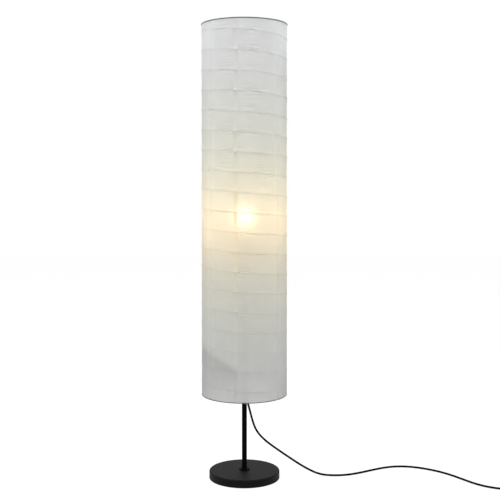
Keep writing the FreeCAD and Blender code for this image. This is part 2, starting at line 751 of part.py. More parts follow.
def make_holder():
    revolved(
        "holder_nipple",
        [
            ("nipple_bore", "pole_top - nipple_seat"),
            ("insert_radius", "pole_top - nipple_seat"),
            ("insert_radius", "pole_top"),
            ("nipple_radius", "pole_top"),
            ("nipple_radius", "pole_top + nipple_reach"),
            ("nipple_bore", "pole_top + nipple_reach"),
        ],
    )
    nut = prism("holder_nut_hex", "nut_across", "nut_height", "nut_bottom")
    thread = "nipple_radius + fit_slack"
    nut_bore = solid("Cylinder", "holder_nut_bore", z="nut_bottom", Radius=thread, Height="nut_height")
    cut("holder_nut", nut, nut_bore)
    revolved(
        "holder_cap",
        [
            ("nipple_radius + fit_slack", "cap_bottom"),
            ("cap_neck", "cap_bottom"),
            ("holder_radius", "cap_bottom + cap_slope"),
            ("holder_radius", "cap_top"),
            ("holder_bore", "cap_top"),
            ("holder_bore", "cap_bottom + cap_slope"),
            ("cap_neck - holder_wall", "cap_bottom + cap_floor"),
            ("nipple_radius + fit_slack", "cap_bottom + cap_floor"),
        ],
    )
    revolved(
        "holder_body",
        [
            ("holder_bore", "cap_top"),
            ("holder_radius", "cap_top"),
            ("holder_radius", "cap_top + body_height"),
            ("shell_seat", "cap_top + body_height"),
            ("shell_seat", "insulator_top"),
            ("holder_bore", "insulator_top"),
        ],
    )
    sleeve(
        "holder_ring",
        "holder_radius + fit_slack",
        "ring_flange",
        "cap_top + ring_rise",
        "cap_top + ring_rise + ring_height",
    )
    block = solid(
        "Cylinder",
        "holder_insulator_block",
        z="cap_top",
        Radius="holder_bore - fit_slack",
        Height="insulator_thickness",
    )
    holes = [
        solid(
            "Cylinder",
            f"holder_insulator_hole{i}",
            x=f"{side} * terminal_spacing / 2",
            z="cap_top",
            Radius="terminal_shank + fit_slack",
            Height="terminal_depth + fit_slack",
        )
        for i, side in enumerate((-1, 1), start=1)
    ]
    cut("holder_insulator", block, *holes)
    sleeve(
        "screw_shell",
        "shell_radius - shell_wall",
        "shell_radius",
        "insulator_top",
        "insulator_top + shell_height",
    )
    tongue = new_body("centre_contact")
    side = sketch_on(tongue, "XZ_Plane", "centre_contact_side")
    draw_polygon(
        side,
        [
            ("-tongue_reach", "insulator_top"),
            ("-tongue_reach / 3", "insulator_top"),
            ("tongue_reach / 3", "insulator_top + tongue_height - tongue_sheet"),
            ("tongue_reach", "insulator_top + tongue_height - tongue_sheet"),
            ("tongue_reach", "insulator_top + tongue_height"),
            ("0", "insulator_top + tongue_height"),
            ("-tongue_reach / 2", "insulator_top + tongue_sheet"),
            ("-tongue_reach", "insulator_top + tongue_sheet"),
        ],
    )
    strip = pad(tongue, side, "centre_contact_strip", "tongue_width")
    strip.Midplane = True
    screws, leads = [], []
    for i, side in enumerate((-1, 1), start=1):
        x = f"{side} * terminal_spacing / 2"
        head = solid(
            "Cylinder",
            f"terminal_head{i}",
            x=x,
            z="cap_top - terminal_head_height",
            Radius="terminal_head",
            Height="terminal_head_height",
        )
        shank = solid(
            "Cylinder",
            f"terminal_shank{i}",
            x=x,
            z="cap_top",
            Radius="terminal_shank",
            Height="terminal_depth",
        )
        screws.append(fuse(f"terminal_screw{i}", head, shank))
        near = side * sheet.lead_spacing / 2
        far = side * sheet.terminal_spacing / 2
        bottom = levels.pole_top + sheet.nipple_reach
        top = levels.cap_top - sheet.terminal_head_height
        rise = (top - bottom) / 4
        route = [(near, 0, bottom), (near, 0, bottom + rise), (far, 0, top - rise), (far, 0, top)]
        leads.append(routed_tube(f"terminal_lead{i}", route, sheet.lead_radius))
    group("terminal_screws", *screws)
    group("terminal_leads", *leads)


# ---------------------------------------------------------------- bulb


def make_bulb():
    tip_top = "bulb_bottom + tip_height"
    revolved(
        "bulb_contact",
        [(0, "bulb_bottom"), ("tip_radius", "bulb_bottom"), ("tip_radius", tip_top), (0, tip_top)],
    )
    revolved(
        "bulb_cap",
        [
            (0, "bulb_cap_bottom"),
            ("bulb_cap_end", "bulb_cap_bottom"),
            ("bulb_cap_radius", "bulb_cap_bottom + bulb_cap_cone"),
            ("bulb_cap_radius", "bulb_cap_top"),
            (0, "bulb_cap_top"),
        ],
    )
    revolved(
        "bulb_housing",
        [
            (0, "bulb_cap_top"),
            ("bulb_cap_radius", "bulb_cap_top"),
            ("bulb_rim_radius", "bulb_rim"),
            ("bulb_rim_radius - housing_wall", "bulb_rim"),
            ("bulb_cap_radius - housing_wall", "bulb_cap_top + housing_wall"),
            (0, "bulb_cap_top + housing_wall"),
        ],
    )
    board_radius = "bulb_rim_radius - 2 * housing_wall"
    revolved(
        "bulb_led_board",
        [
            (0, "bulb_rim - board_thickness"),
            (board_radius, "bulb_rim - board_thickness"),
            (board_radius, "bulb_rim"),
            (0, "bulb_rim"),
        ],
    )
    outside = solid(
        "Sphere",
        "bulb_globe_outside",
        z="bulb_middle",
        Radius="bulb_radius",
        Angle1="-asin(bulb_rim_drop / bulb_radius)",
    )
    inside = solid("Sphere", "bulb_globe_inside", z="bulb_middle", Radius="bulb_radius - bulb_wall")
    cut("bulb_globe", outside, inside)


# ---------------------------------------------------------------- shade carrier


def make_carrier():
    plate = solid(
        "Box",
        "harp_saddle_plate",
        x="-harp_half_width",
        y="-saddle_width / 2",
        z="pole_top",
        Length="2 * harp_half_width",
        Width="saddle_width",
        Height="saddle_thickness",
    )
    ends, ears, ferrules = [], [], []
    for i, side in enumerate((-1, 1), start=1):
        x = f"{side} * harp_half_width"
        ends.append(
            solid(
                "Cylinder",
                f"harp_saddle_end{i}",
                x=x,
                z="pole_top",
                Radius="saddle_width / 2",
                Height="saddle_thickness",
            )
        )
        ears.append(
            solid(
                "Cylinder",
                f"harp_saddle_ear{i}",
                x=x,
                z="nut_bottom",
                Radius="ear_radius",
                Height="ear_height",
            )
        )
        sleeve_outside = solid(
            "Cylinder",
            f"harp_ferrule_outside{i}",
            x=x,
            z="nut_bottom + ferrule_lift",
            Radius="ferrule_radius",
            Height="ferrule_length",
        )
        sleeve_bore = solid(
            "Cylinder",
            f"harp_ferrule_bore{i}",
            x=x,
            z="nut_bottom + ferrule_lift",
            Radius="ear_radius + fit_slack",
            Height="ferrule_length",
        )
        ferrules.append(cut(f"harp_ferrule{i}", sleeve_outside, sleeve_bore))
    strip = fuse("harp_saddle_strip", plate, *ends, *ears)
    hole = solid(
        "Cylinder",
        "harp_saddle_hole",
        z="pole_top",
        Radius="nipple_radius + fit_slack",
        Height="saddle_thickness",
    )
    cut("harp_saddle", strip, hole)
    group("harp_ferrules", *ferrules)
    make_harp_wire()
    block = solid(
        "Cylinder",
        "harp_stud_block",
        z="harp_top - stud_block_drop",
        Radius="stud_block_radius",
        Height="stud_block_drop + stud_neck",
    )
    stem = solid("Cylinder", "harp_stud_stem", z="hub_bottom", Radius="stem_radius", Height="stem_length")
    cross = primitive(
        "Cylinder",
        "harp_stud_cross_bore",
        Radius="harp_wire_radius + fit_slack",
        Height="2 * stud_block_radius",
    )
    cross.Placement = Placement(Vector(0, 0, 0), Rotation(Vector(0, 1, 0), 90))
    bind(cross, Placement__Base__x="-stud_block_radius", Placement__Base__z="harp_top")
    cut("harp_stud", fuse("harp_stud_whole", block, stem), cross)
    sleeve("finial_washer", "stem_radius + bolt_slack", "finial_washer_radius", "hub_top", "finial_bottom")
    flats = prism("finial_flats", "finial_across", "finial_hex_height", "finial_bottom")
    dome = solid(
        "Sphere",
        "finial_dome",
        z="finial_bottom + finial_hex_height - 0.1 * finial_dome_radius",
        Radius="finial_dome_radius",
        Angle1="0",
    )
    thread = solid(
        "Cylinder",
        "finial_thread",
        z="finial_bottom",
        Radius="stem_radius + fit_slack",
        Height="finial_bore_depth",
    )
    cut("finial", fuse("finial_whole", flats, dome), thread)


def make_harp_wire():
    """A tall U of wire: up from one stud, across through the block, and down to the other stud."""
    body = new_body("harp_wire")
    path = sketch_on(body, "XZ_Plane", "harp_wire_path")
    half, foot, top, bend = (
        number(name) for name in ("harp_half_width", "harp_foot", "harp_top", "harp_corner")
    )
    path.addGeometry(Part.LineSegment(Vector(half, foot, 0), Vector(half, top - bend, 0)))
    path.addGeometry(
        Part.ArcOfCircle(
            Part.Circle(Vector(half - bend, top - bend, 0), Vector(0, 0, 1), bend), 0, math.pi / 2
        )
    )
    path.addGeometry(Part.LineSegment(Vector(half - bend, top, 0), Vector(bend - half, top, 0)))
    path.addGeometry(
        Part.ArcOfCircle(
            Part.Circle(Vector(bend - half, top - bend, 0), Vector(0, 0, 1), bend), math.pi / 2, math.pi
        )
    )
    path.addGeometry(Part.LineSegment(Vector(-half, top - bend, 0), Vector(-half, foot, 0)))
    joins = [(0, 2, 1, 1), (1, 2, 2, 1), (2, 2, 3, 1), (3, 2, 4, 1)]
    for join in joins:
        path.addConstraint(Sketcher.Constraint("Coincident", *join))
    hold(path, "DistanceX", 0, 1, "harp_half_width")
    hold(path, "DistanceY", 0, 1, "harp_foot")
    hold(path, "DistanceX", 0, 2, "harp_half_width")
    hold(path, "DistanceY", 0, 2, "harp_top - harp_corner")
    hold(path, "DistanceX", 2, 1, "harp_half_width - harp_corner")
    hold(path, "DistanceY", 2, 1, "harp_top")
    hold(path, "DistanceX", 2, 2, "harp_corner - harp_half_width")
    hold(path, "DistanceY", 2, 2, "harp_top")
    hold(path, "DistanceX", 4, 1, "-harp_half_width")
    hold(path, "DistanceY", 4, 1, "harp_top - harp_corner")
    hold(path, "DistanceX", 4, 2, "-harp_half_width")
    hold(path, "DistanceY", 4, 2, "harp_foot")
    for arc in (1, 3):
        constraint = path.addConstraint(Sketcher.Constraint("Radius", arc, bend))
        path.setExpression(f"Constraints[{constraint}]", written("harp_corner"))
    section = sketch_on(body, "XY_Plane", "harp_wire_section", lift="harp_foot")
    draw_circle(section, "harp_half_width", "0", "harp_wire_radius")
    doc.recompute()
    pipe = body.newObject("PartDesign::AdditivePipe", "harp_wire_bend")
    pipe.Profile = section
    pipe.Spine = (path, [])
    doc.recompute()


# ---------------------------------------------------------------- shade


def make_top_frame():
    """Ring, hub and arms are welded: the arms leave the hub level, then rise to the ring."""
    body = new_body("top_frame")
    hub = sketch_on(body, "XZ_Plane", "top_frame_hub_outline")
    hole = "stem_radius + bolt_slack"
    draw_polygon(
        hub,
        [(hole, "hub_bottom"), ("hub_radius", "hub_bottom"), ("hub_radius", "hub_top"), (hole, "hub_top")],
    )
    turn_sketch(body, hub, "top_frame_hub")
    arm_height = "hub_bottom + hub_thickness / 2"
    path = sketch_on(body, "YZ_Plane", "top_frame_arm_path")
    bend = number("arm_bend_radius")
    root = Vector(number("arm_root"), number(arm_height), 0)
    level_end = Vector(number("arm_bend"), number(arm_height), 0)
    rim = Vector(number("top_ring_radius"), number("top_ring_height"), 0)
    middle = level_end + Vector(0, bend, 0)
    far = rim - middle
    steepness = math.atan2(far.y, far.x) + math.asin(bend / far.Length)
    arc_end = middle + Vector(math.sin(steepness), -math.cos(steepness), 0) * bend
    path.addGeometry(Part.LineSegment(root, level_end))
    path.addGeometry(
        Part.ArcOfCircle(
            Part.Circle(middle, Vector(0, 0, 1), bend), -math.pi / 2, steepness - math.pi / 2
        )
    )
    path.addGeometry(Part.LineSegment(arc_end, rim))
    path.addConstraint(Sketcher.Constraint("Tangent", 0, 2, 1, 1))
    path.addConstraint(Sketcher.Constraint("Tangent", 1, 2, 2, 1))
    hold(path, "DistanceX", 0, 1, "arm_root")
    hold(path, "DistanceY", 0, 1, arm_height)
    hold(path, "DistanceX", 0, 2, "arm_bend")
    hold(path, "DistanceY", 0, 2, arm_height)
    hold(path, "DistanceX", 2, 2, "top_ring_radius")
    hold(path, "DistanceY", 2, 2, "top_ring_height")
    curve = path.addConstraint(Sketcher.Constraint("Radius", 1, bend))
    path.setExpression(f"Constraints[{curve}]", written("arm_bend_radius"))
    section = sketch_on(body, "XZ_Plane", "top_frame_arm_section", lift="-arm_root")
    draw_circle(section, "0", arm_height, "arm_wire_radius")
    doc.recompute()
    arm = body.newObject("PartDesign::AdditivePipe", "top_frame_arm")
    arm.Profile = section
    arm.Spine = (path, [])
    doc.recompute()
    polar(body, arm, "top_frame_arms", "frame_arms")
    ring = sketch_on(body, "XZ_Plane", "top_frame_ring_section")
    draw_circle(ring, "top_ring_radius", "top_ring_height", "top_wire_radius")
    turn_sketch(body, ring, "top_frame_ring")


def make_bottom_frame():
    """Ring, arms and a loose loop round the pole are welded in one plane."""
    body = new_body("bottom_frame")
    loop = sketch_on(body, "XZ_Plane", "bottom_frame_loop_section")
    draw_circle(loop, "loop_radius", "bottom_ring_height", "arm_wire_radius")
    turn_sketch(body, loop, "bottom_frame_loop")
    section = sketch_on(body, "XZ_Plane", "bottom_frame_arm_section", lift="-loop_radius")
    draw_circle(section, "0", "bottom_ring_height", "arm_wire_radius")
    arm = pad(body, section, "bottom_frame_arm", "bottom_ring_radius - loop_radius", reverse=True)
    polar(body, arm, "bottom_frame_arms", "frame_arms")
    ring = sketch_on(body, "XZ_Plane", "bottom_frame_ring_section")
    draw_circle(ring, "bottom_ring_radius", "bottom_ring_height", "bottom_wire_radius")
    turn_sketch(body, ring, "bottom_frame_ring")


def make_paper():
    """The paper ends on both rings. It widens a little from top to bottom."""
    revolved(
        "paper_shade",
        [
            ("shade_bottom_radius - paper_thickness", "paper_bottom"),
            ("shade_bottom_radius", "paper_bottom"),
            ("shade_top_radius", "paper_top"),
            ("shade_top_radius - paper_thickness", "paper_top"),
        ],
    )
    strip = revolved(
        "seam_strip",
        [
            ("shade_bottom_radius + seam_gap", "paper_bottom"),
            ("shade_bottom_radius + seam_gap + seam_thickness", "paper_bottom"),
            ("shade_top_radius + seam_gap + seam_thickness", "paper_top"),
            ("shade_top_radius + seam_gap", "paper_top"),
        ],
        angle="seam_width / shade_bottom_radius * 180 / pi",
        midplane=True,
    )
    strip.Placement = Placement(Vector(0, 0, 0), Rotation(Vector(0, 0, 1), 1))
    bind(strip, Placement__Rotation__Angle="seam_bearing")


def make_rib_wire():
    """One wire that winds down inside the paper from ring to ring, and falls as it turns anticlockwise."""
    wire = sheet.rib_wire_radius
    inset = sheet.paper_thickness + sheet.skin_gap + wire
    start, end = levels.paper_top - wire, levels.paper_bottom + wire
    turns = (start - end) / sheet.rib_pitch
    first_front = levels.shade_top - sheet.first_rib_drop
    begin = FRONT - (start - first_front) / sheet.rib_pitch
    paper_length = levels.paper_top - levels.paper_bottom
    widening = sheet.shade_bottom_radius - sheet.shade_top_radius

    def place(t):
        height = start - sheet.rib_pitch * t
        share = (levels.paper_top - height) / paper_length
        radius = sheet.shade_top_radius + widening * share - inset
        angle = 2 * math.pi * (begin + t)
        return Vector(radius * math.cos(angle), radius * math.sin(angle), height)

    wound_tube("rib_wire", place, turns, wire)


# ---------------------------------------------------------------- cord, foot switch and plug

# Turns what stands on the origin along +Z so that it lies along +X.
LAID_ALONG_X = Rotation(Vector(0, 1, 0), 90)

# The lead's route, chosen by hand: down to the floor and along it, up to where it turns to the switch.
LEAD_ROUTE = [
    (20.6, 0.4, 152.5),
    (30.5, 0.7, 124.5),
    (52, 1.4, 99.5),
    (84, 2.4, 75.5),
    (122, 3.5, 49),
    (160, 4.7, 23.7),
    (198, 5.8, 5.3),
    (236, 5.2, 2.7),
    (272, 10, 2.7),
    (308, 28, 2.7),
    (345, 52.5, 2.7),
    (380, 73, 2.7),
    (414, 83, 2.7),
    (449, 80, 2.7),
    (483, 65, 2.7),
    (519, 38, 2.7),
    (547, 5, 2.7),
    (571, -34, 2.7),
    (594, -69, 2.7),
    (623, -94, 2.7),
]


def along_switch(forward, left=0.0):
    """A point on the floor plan, from the switch's middle along and across its long side."""
    bearing = math.radians(sheet.switch_bearing)
    ahead = Vector(math.cos(bearing), math.sin(bearing), 0)
    aside = Vector(-math.sin(bearing), math.cos(bearing), 0)
    return Vector(sheet.switch_x, sheet.switch_y, 0) + ahead * forward + aside * left


def switch_relief(label, side):
    """A tapered strain relief with its root on the switch's end face.

    side is -1 where the lead comes in and 1 where the tail goes out.
    """
    cone = primitive("Cone", label, Radius1="relief_root", Radius2="relief_tip", Height="relief_length")
    outward = Rotation(Vector(0, 0, 1), sheet.switch_bearing + (180 if side < 0 else 0))
    root = along_switch(side * sheet.switch_length / 2) + Vector(0, 0, sheet.entry_height)
    cone.Placement = Placement(root, outward * LAID_ALONG_X)
    return cone


def case_outline(sketch, inset):
    half_x, half_y = f"switch_length / 2 - {inset}", f"switch_width / 2 - {inset}"
    draw_polygon(
        sketch,
        [
            (f"-({half_x})", f"-({half_y})"),
            (half_x, f"-({half_y})"),
            (half_x, half_y),
            (f"-({half_x})", half_y),
        ],
    )


def upright_corner(inset):
    """A test for the case's upright edges that lie so far inside its outline."""
    x, y = sheet.switch_length / 2 - inset, sheet.switch_width / 2 - inset

    def wanted(edge):
        box = edge.BoundBox
        on_x = abs(abs(box.Center.x) - x) < 1e-6 and box.XLength < 1e-6
        on_y = abs(abs(box.Center.y) - y) < 1e-6 and box.YLength < 1e-6
        return on_x and on_y and box.ZLength > 1e-3

    return wanted


def round_case(body, name, wall):
    """Rounds the case's upright corners, inside and out, about the same axes."""
    inner = round_edges(
        body, body.Tip, f"{name}_inner_corners", f"switch_corner - {wall}", upright_corner(sheet.switch_wall)
    )
    return round_edges(body, inner, f"{name}_outer_corners", "switch_corner", upright_corner(0))


def screw_circles(sketch, radius):
    for side in (-1, 1):
        draw_circle(sketch, f"{side} * screw_spacing / 2", "0", radius)


def make_switch():
    base = new_body("switch_base")
    outline = sketch_on(base, "XY_Plane", "switch_base_outline")
    case_outline(outline, "0")
    pad(base, outline, "switch_base_block", "switch_split")
    hollow = sketch_on(base, "XY_Plane", "switch_base_hollow_outline", lift="switch_split")
    case_outline(hollow, "switch_wall")
    pocket(base, hollow, "switch_base_hollow", "switch_split - switch_wall")
    round_case(base, "switch_base", "switch_wall")
    heads = sketch_on(base, "XY_Plane", "switch_base_head_holes_outline")
    screw_circles(heads, "screw_head + screw_slack")
    pocket(base, heads, "switch_base_head_holes", "screw_head_height", reverse=True)
    shanks = sketch_on(base, "XY_Plane", "switch_base_shank_holes_outline")
    screw_circles(shanks, "screw_shank + screw_slack")
    pocket(base, shanks, "switch_base_shank_holes", "switch_wall", reverse=True)
    lay_along(base, "switch_x", "switch_y", "switch_bearing")

    cover = new_body("switch_cover")
    outline = sketch_on(cover, "XY_Plane", "switch_cover_outline", lift="switch_split")
    case_outline(outline, "0")
    pad(cover, outline, "switch_cover_block", "switch_height - switch_split")
    hollow = sketch_on(cover, "XY_Plane", "switch_cover_hollow_outline", lift="switch_split")
    case_outline(hollow, "switch_wall")
    pocket(
        cover, hollow, "switch_cover_hollow", "switch_height - switch_split - switch_wall", reverse=True
    )
    rounded = round_case(cover, "switch_cover", "switch_wall")
    top = sheet.switch_height
    round_edges(
        cover,
        rounded,
        "switch_cover_top_edge",
        "switch_edge",
        lambda e: abs(e.BoundBox.ZMin - top) < 1e-6 and e.BoundBox.ZLength < 1e-6,
    )
    hole = sketch_on(cover, "XY_Plane", "switch_cover_button_hole_outline", lift="switch_height")
    draw_circle(hole, "0", "0", "button_radius + button_slack")
    pocket(cover, hole, "switch_cover_button_hole", "switch_wall")
    posts = sketch_on(cover, "XY_Plane", "switch_cover_posts_outline", lift="switch_split")
    screw_circles(posts, "screw_boss")
    pad(cover, posts, "switch_cover_posts", "switch_height - switch_split - switch_wall")
    bores = sketch_on(cover, "XY_Plane", "switch_cover_bores_outline", lift="switch_split")
    screw_circles(bores, "screw_shank + fit_slack")
    pocket(
        cover,
        bores,
        "switch_cover_bores",
        "screw_head_height + screw_length - switch_split + fit_slack",
        reverse=True,
    )
    lay_along(cover, "switch_x", "switch_y", "switch_bearing")

    button = revolved(
        "switch_button",
        [
            (0, "button_lip_bottom"),
            ("button_radius + button_lip", "button_lip_bottom"),
            ("button_radius + button_lip", "button_lip_top"),
            ("button_radius", "button_lip_top"),
            ("button_radius", "switch_height + button_rise"),
            (0, "switch_height + button_rise"),
        ],
    )
    crest = number("switch_height + button_rise")
    round_edges(
        button,
        button.Tip,
        "switch_button_edge",
        "button_edge",
        lambda e: abs(e.BoundBox.ZMin - crest) < 1e-6 and e.BoundBox.XLength > 1,
    )
    lay_along(button, "switch_x", "switch_y", "switch_bearing")

    module = new_body("switch_module")
    outline = sketch_on(module, "XY_Plane", "switch_module_outline", lift="switch_wall")
    x, y = "module_length / 2", "module_width / 2"
    draw_polygon(outline, [(f"-{x}", f"-{y}"), (x, f"-{y}"), (x, y), (f"-{x}", y)])
    pad(module, outline, "switch_module_block", "module_height")
    lay_along(module, "switch_x", "switch_y", "switch_bearing")

    screws = []
    for i, side in enumerate((-1, 1), start=1):
        place = {
            "x": f"switch_x + {side} * screw_spacing / 2 * cos(switch_bearing)",
            "y": f"switch_y + {side} * screw_spacing / 2 * sin(switch_bearing)",
        }
        head = solid(
            "Cylinder", f"case_screw_head{i}", Radius="screw_head", Height="screw_head_height", **place
        )
        shank = solid(
            "Cylinder",
            f"case_screw_shank{i}",
            z="screw_head_height",
            Radius="screw_shank",
            Height="screw_length",
            **place,
        )
        screws.append(fuse(f"case_screw{i}", head, shank))
    group("switch_screws", *screws)
    make_button_spring()
    switch_relief("switch_relief_in", -1)
    switch_relief("switch_relief_out", 1)


def make_button_spring():
    """An upright spring between the contact block and the button's flange."""
    radius, wire = sheet.spring_radius, sheet.spring_wire
    middle = along_switch(0)
    low = levels.module_top + sheet.skin_gap + wire
    high = levels.button_lip_bottom - sheet.skin_gap - wire
    turns = sheet.spring_turns

    def place(t):
        angle = 2 * math.pi * t
        height = low + (high - low) * min(max(t / turns, 0), 1)
        return middle + Vector(radius * math.cos(angle), radius * math.sin(angle), height)

    wound_tube("switch_spring", place, turns, wire)


def make_cord():
    radius = sheet.cord_radius
    half = sheet.switch_length / 2 + sheet.relief_length
    entry = Vector(0, 0, sheet.entry_height)
    short = sheet.short_run
    lead = [
        outlet_point(0),
        outlet_point(-sheet.outlet_run),
        *LEAD_ROUTE,
        along_switch(-half - sheet.inlet_run) + entry,
        along_switch(-half) + entry,
    ]
    routed_tube("cord_lead", lead, radius)

    straight = 2 * radius
    turns, pitch, outer = sheet.coil_turns, sheet.coil_pitch, sheet.coil_radius
    middle = along_switch(half + sheet.coil_lead_in, outer)
    begin = math.radians(sheet.switch_bearing) - math.pi / 2
    half_way = turns / 2
    climb = 0.5

    def place(t):
        spiral = outer - pitch * (half_way - abs(half_way - t))
        share = min(max((t - half_way + climb / 2) / climb, 0), 1)
        height = radius + pitch * share * share * (3 - 2 * share)
        angle = begin + 2 * math.pi * t
        return middle + Vector(spiral * math.cos(angle), spiral * math.sin(angle), height)

    wound_tube("cord_coil", place, turns, radius)
    arriving, leaving = heading_at(place, 0), heading_at(place, turns)
    first, last = place(0) - arriving * straight, place(turns) + leaving * straight
    tail = [along_switch(half) + entry, along_switch(half + short) + entry, first - arriving * short, first]
    routed_tube("cord_tail", tail, radius)
    plug_mouth = last + leaving * (sheet.plug_run - straight) + Vector(0, 0, levels.plug_axis - last.z)
    to_plug = [last, last + leaving * short, plug_mouth - leaving * short, plug_mouth]
    routed_tube("cord_plug_run", to_plug, radius)
    make_plug(plug_mouth, math.degrees(math.atan2(leaving.y, leaving.x)))


def make_plug(entry, bearing):
    """A flat two-pin plug that lies on the floor. Its own +X runs from the cord to the pins."""
    turn = Rotation(Vector(0, 0, 1), bearing)
    place = Placement(Vector(entry.x, entry.y, 0), turn)
    relief = primitive(
        "Cone", "plug_relief", Radius1="relief_tip", Radius2="plug_relief_root", Height="plug_relief_length"
    )
    relief.Placement = Placement(Vector(entry.x, entry.y, levels.plug_axis), turn * LAID_ALONG_X)

    body = new_body("plug_body")
    outline = sketch_on(body, "XY_Plane", "plug_body_outline")
    back = "plug_relief_length"
    front = "plug_relief_length + plug_length"
    shoulder = "plug_relief_length + plug_shoulder"
    draw_polygon(
        outline,
        [
            (back, "-plug_waist / 2"),
            (shoulder, "-plug_width / 2"),
            (front, "-plug_width / 2"),
            (front, "plug_width / 2"),
            (shoulder, "plug_width / 2"),
            (back, "plug_waist / 2"),
        ],
    )
    block = pad(body, outline, "plug_body_block", "plug_thickness")
    thickness = sheet.plug_thickness
    front_face = number(front)
    uprights = round_edges(
        body,
        block,
        "plug_body_corners",
        "plug_edge",
        lambda e: e.BoundBox.ZLength > thickness - 1e-3,
    )
    back_face = number(back)
    round_edges(
        body,
        uprights,
        "plug_body_edges",
        "plug_edge / 2",
        lambda e: e.BoundBox.ZLength < 1e-6
        and min(abs(e.BoundBox.XMax - front_face), abs(e.BoundBox.XMin - back_face)) > 1e-6,
    )
    body.Placement = place
    pins = []
    for i, side in enumerate((-1, 1), start=1):
        pin = primitive("Cylinder", f"plug_pin{i}", Radius="pin_radius", Height="pin_length")
        start = place.multVec(Vector(front_face, side * sheet.pin_spacing / 2, levels.plug_axis))
        pin.Placement = Placement(start, turn * LAID_ALONG_X)
        pins.append(pin)
    group("plug_pins", *pins)


# ---------------------------------------------------------------- building, checking and writing

NODES = [
    "base_pad",
    "base_weight",
    "base_cover",
    "base_washer",
    "base_lock_washer",
    "base_bolt",
    "pole_collar",
    "pole_foot_plug",
    "lower_pole",
    "pole_joiner",
    "upper_pole",
    "cord_gland",
    "inner_cord",
    "holder_nipple",
    "harp_saddle",
    "holder_nut",
    "holder_cap",
    "holder_body",
    "holder_ring",
    "holder_insulator",
    "screw_shell",
    "centre_contact",
    "terminal_screws",
    "terminal_leads",
    "bulb_contact",
    "bulb_cap",
    "bulb_housing",
    "bulb_led_board",
    "bulb_globe",
    "harp_ferrules",
    "harp_wire",
    "harp_stud",
    "top_frame",
    "finial_washer",
    "finial",
    "bottom_frame",
    "paper_shade",
    "seam_strip",
    "rib_wire",
    "cord_lead",
    "switch_relief_in",
    "switch_base",
    "switch_cover",
    "switch_button",
    "switch_spring",
    "switch_module",
    "switch_screws",
    "switch_relief_out",
    "cord_tail",
    "cord_coil",
    "cord_plug_run",
    "plug_relief",
    "plug_body",
    "plug_pins",
]


def check_and_write():
    """Writes each node once every object is sound."""
    doc.recompute()
    failed = [o.Label for o in doc.Objects if {"Invalid", "Error"} & set(o.State)]
    if failed:
        raise RuntimeError(f"not computed: {failed}")
    parts = {}
    for node in NODES:
        thing = doc.getObject(node)
        if thing is None or thing.Shape.isNull() or not thing.Shape.isValid() or not thing.Shape.Solids:
            raise RuntimeError(f"{node} has no sound solid")
        parts[node] = thing.Shape
    os.makedirs("parts", exist_ok=True)
    for node, shape in parts.items():
        shape.exportStep(f"parts/{node}.step")
    print(f"{len(parts)} nodes, {sum(len(s.Solids) for s in parts.values())} solids")


make_base()
make_pole()
make_holder()
make_bulb()
make_carrier()
make_top_frame()
make_bottom_frame()
make_paper()
make_rib_wire()
make_switch()
make_cord()
check_and_write()
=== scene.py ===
"""Looks of the paper lantern floor lamp.

Metres, +Z is up, -Y is the front and +X is the side where the cord leaves the pole.
"""

import logging
import math
from collections.abc import Iterable, Sequence
from dataclasses import dataclass
from enum import Enum

import bmesh
import bpy
import numpy as np
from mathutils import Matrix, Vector

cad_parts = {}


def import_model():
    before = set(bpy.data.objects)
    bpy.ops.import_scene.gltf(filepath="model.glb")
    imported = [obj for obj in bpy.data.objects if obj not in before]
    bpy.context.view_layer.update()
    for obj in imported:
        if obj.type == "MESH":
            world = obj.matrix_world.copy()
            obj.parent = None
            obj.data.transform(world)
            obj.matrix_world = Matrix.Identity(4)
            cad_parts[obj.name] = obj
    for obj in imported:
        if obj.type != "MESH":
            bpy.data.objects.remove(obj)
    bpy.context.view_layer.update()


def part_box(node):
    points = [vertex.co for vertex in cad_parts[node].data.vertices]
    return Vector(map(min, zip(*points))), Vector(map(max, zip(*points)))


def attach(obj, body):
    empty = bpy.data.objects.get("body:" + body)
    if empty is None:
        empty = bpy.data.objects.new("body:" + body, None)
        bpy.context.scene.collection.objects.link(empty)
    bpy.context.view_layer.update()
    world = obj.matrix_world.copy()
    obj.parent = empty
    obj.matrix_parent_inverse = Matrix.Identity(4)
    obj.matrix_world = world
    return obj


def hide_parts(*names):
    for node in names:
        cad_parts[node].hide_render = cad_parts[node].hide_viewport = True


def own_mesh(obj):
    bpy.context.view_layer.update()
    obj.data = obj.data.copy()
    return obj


LOG = logging.getLogger("paper_lantern")
MM = 0.001

Colour = tuple[float, float, float, float]
Point = tuple[float, float, float]
Tree = bpy.types.NodeTree
Socket = bpy.types.NodeSocket
Mesh = bpy.types.Mesh
Piece = bpy.types.Object


class Body(Enum):
    """The bodies of the frame that the pieces ride on."""

    STAND = "stand"
    SHADE_BOTTOM = "shade_bottom"
    BULB = "bulb"


# ---------------------------------------------------------------- small tools


def linear(code: str) -> Colour:
    """Turn a colour as it is written into the one that light is reckoned with.

    Args:
        code: An sRGB hex colour.

    Returns:
        The same colour as linear RGBA.
    """
    parts = [int(code[i : i + 2], 16) / 255 for i in (1, 3, 5)]
    red, green, blue = (c / 12.92 if c <= 0.04045 else ((c + 0.055) / 1.055) ** 2.4 for c in parts)
    return (red, green, blue, 1.0)


def add_node(
    tree: Tree, kind: str, inputs: dict[str | int, object] | None = None, **settings: object
) -> bpy.types.Node:
    """Add one node to a tree.

    Args:
        tree: The tree of a material, world or node group.
        kind: The node's type name.
        inputs: What goes into its sockets: a value, or the output socket of another node.
        settings: The node's own properties, set before its sockets.

    Returns:
        The new node.
    """
    node = tree.nodes.new(kind)
    for name, value in settings.items():
        setattr(node, name, value)
    for socket, value in (inputs or {}).items():
        if isinstance(value, Socket):
            tree.links.new(value, node.inputs[socket])
        else:
            node.inputs[socket].default_value = value
    return node


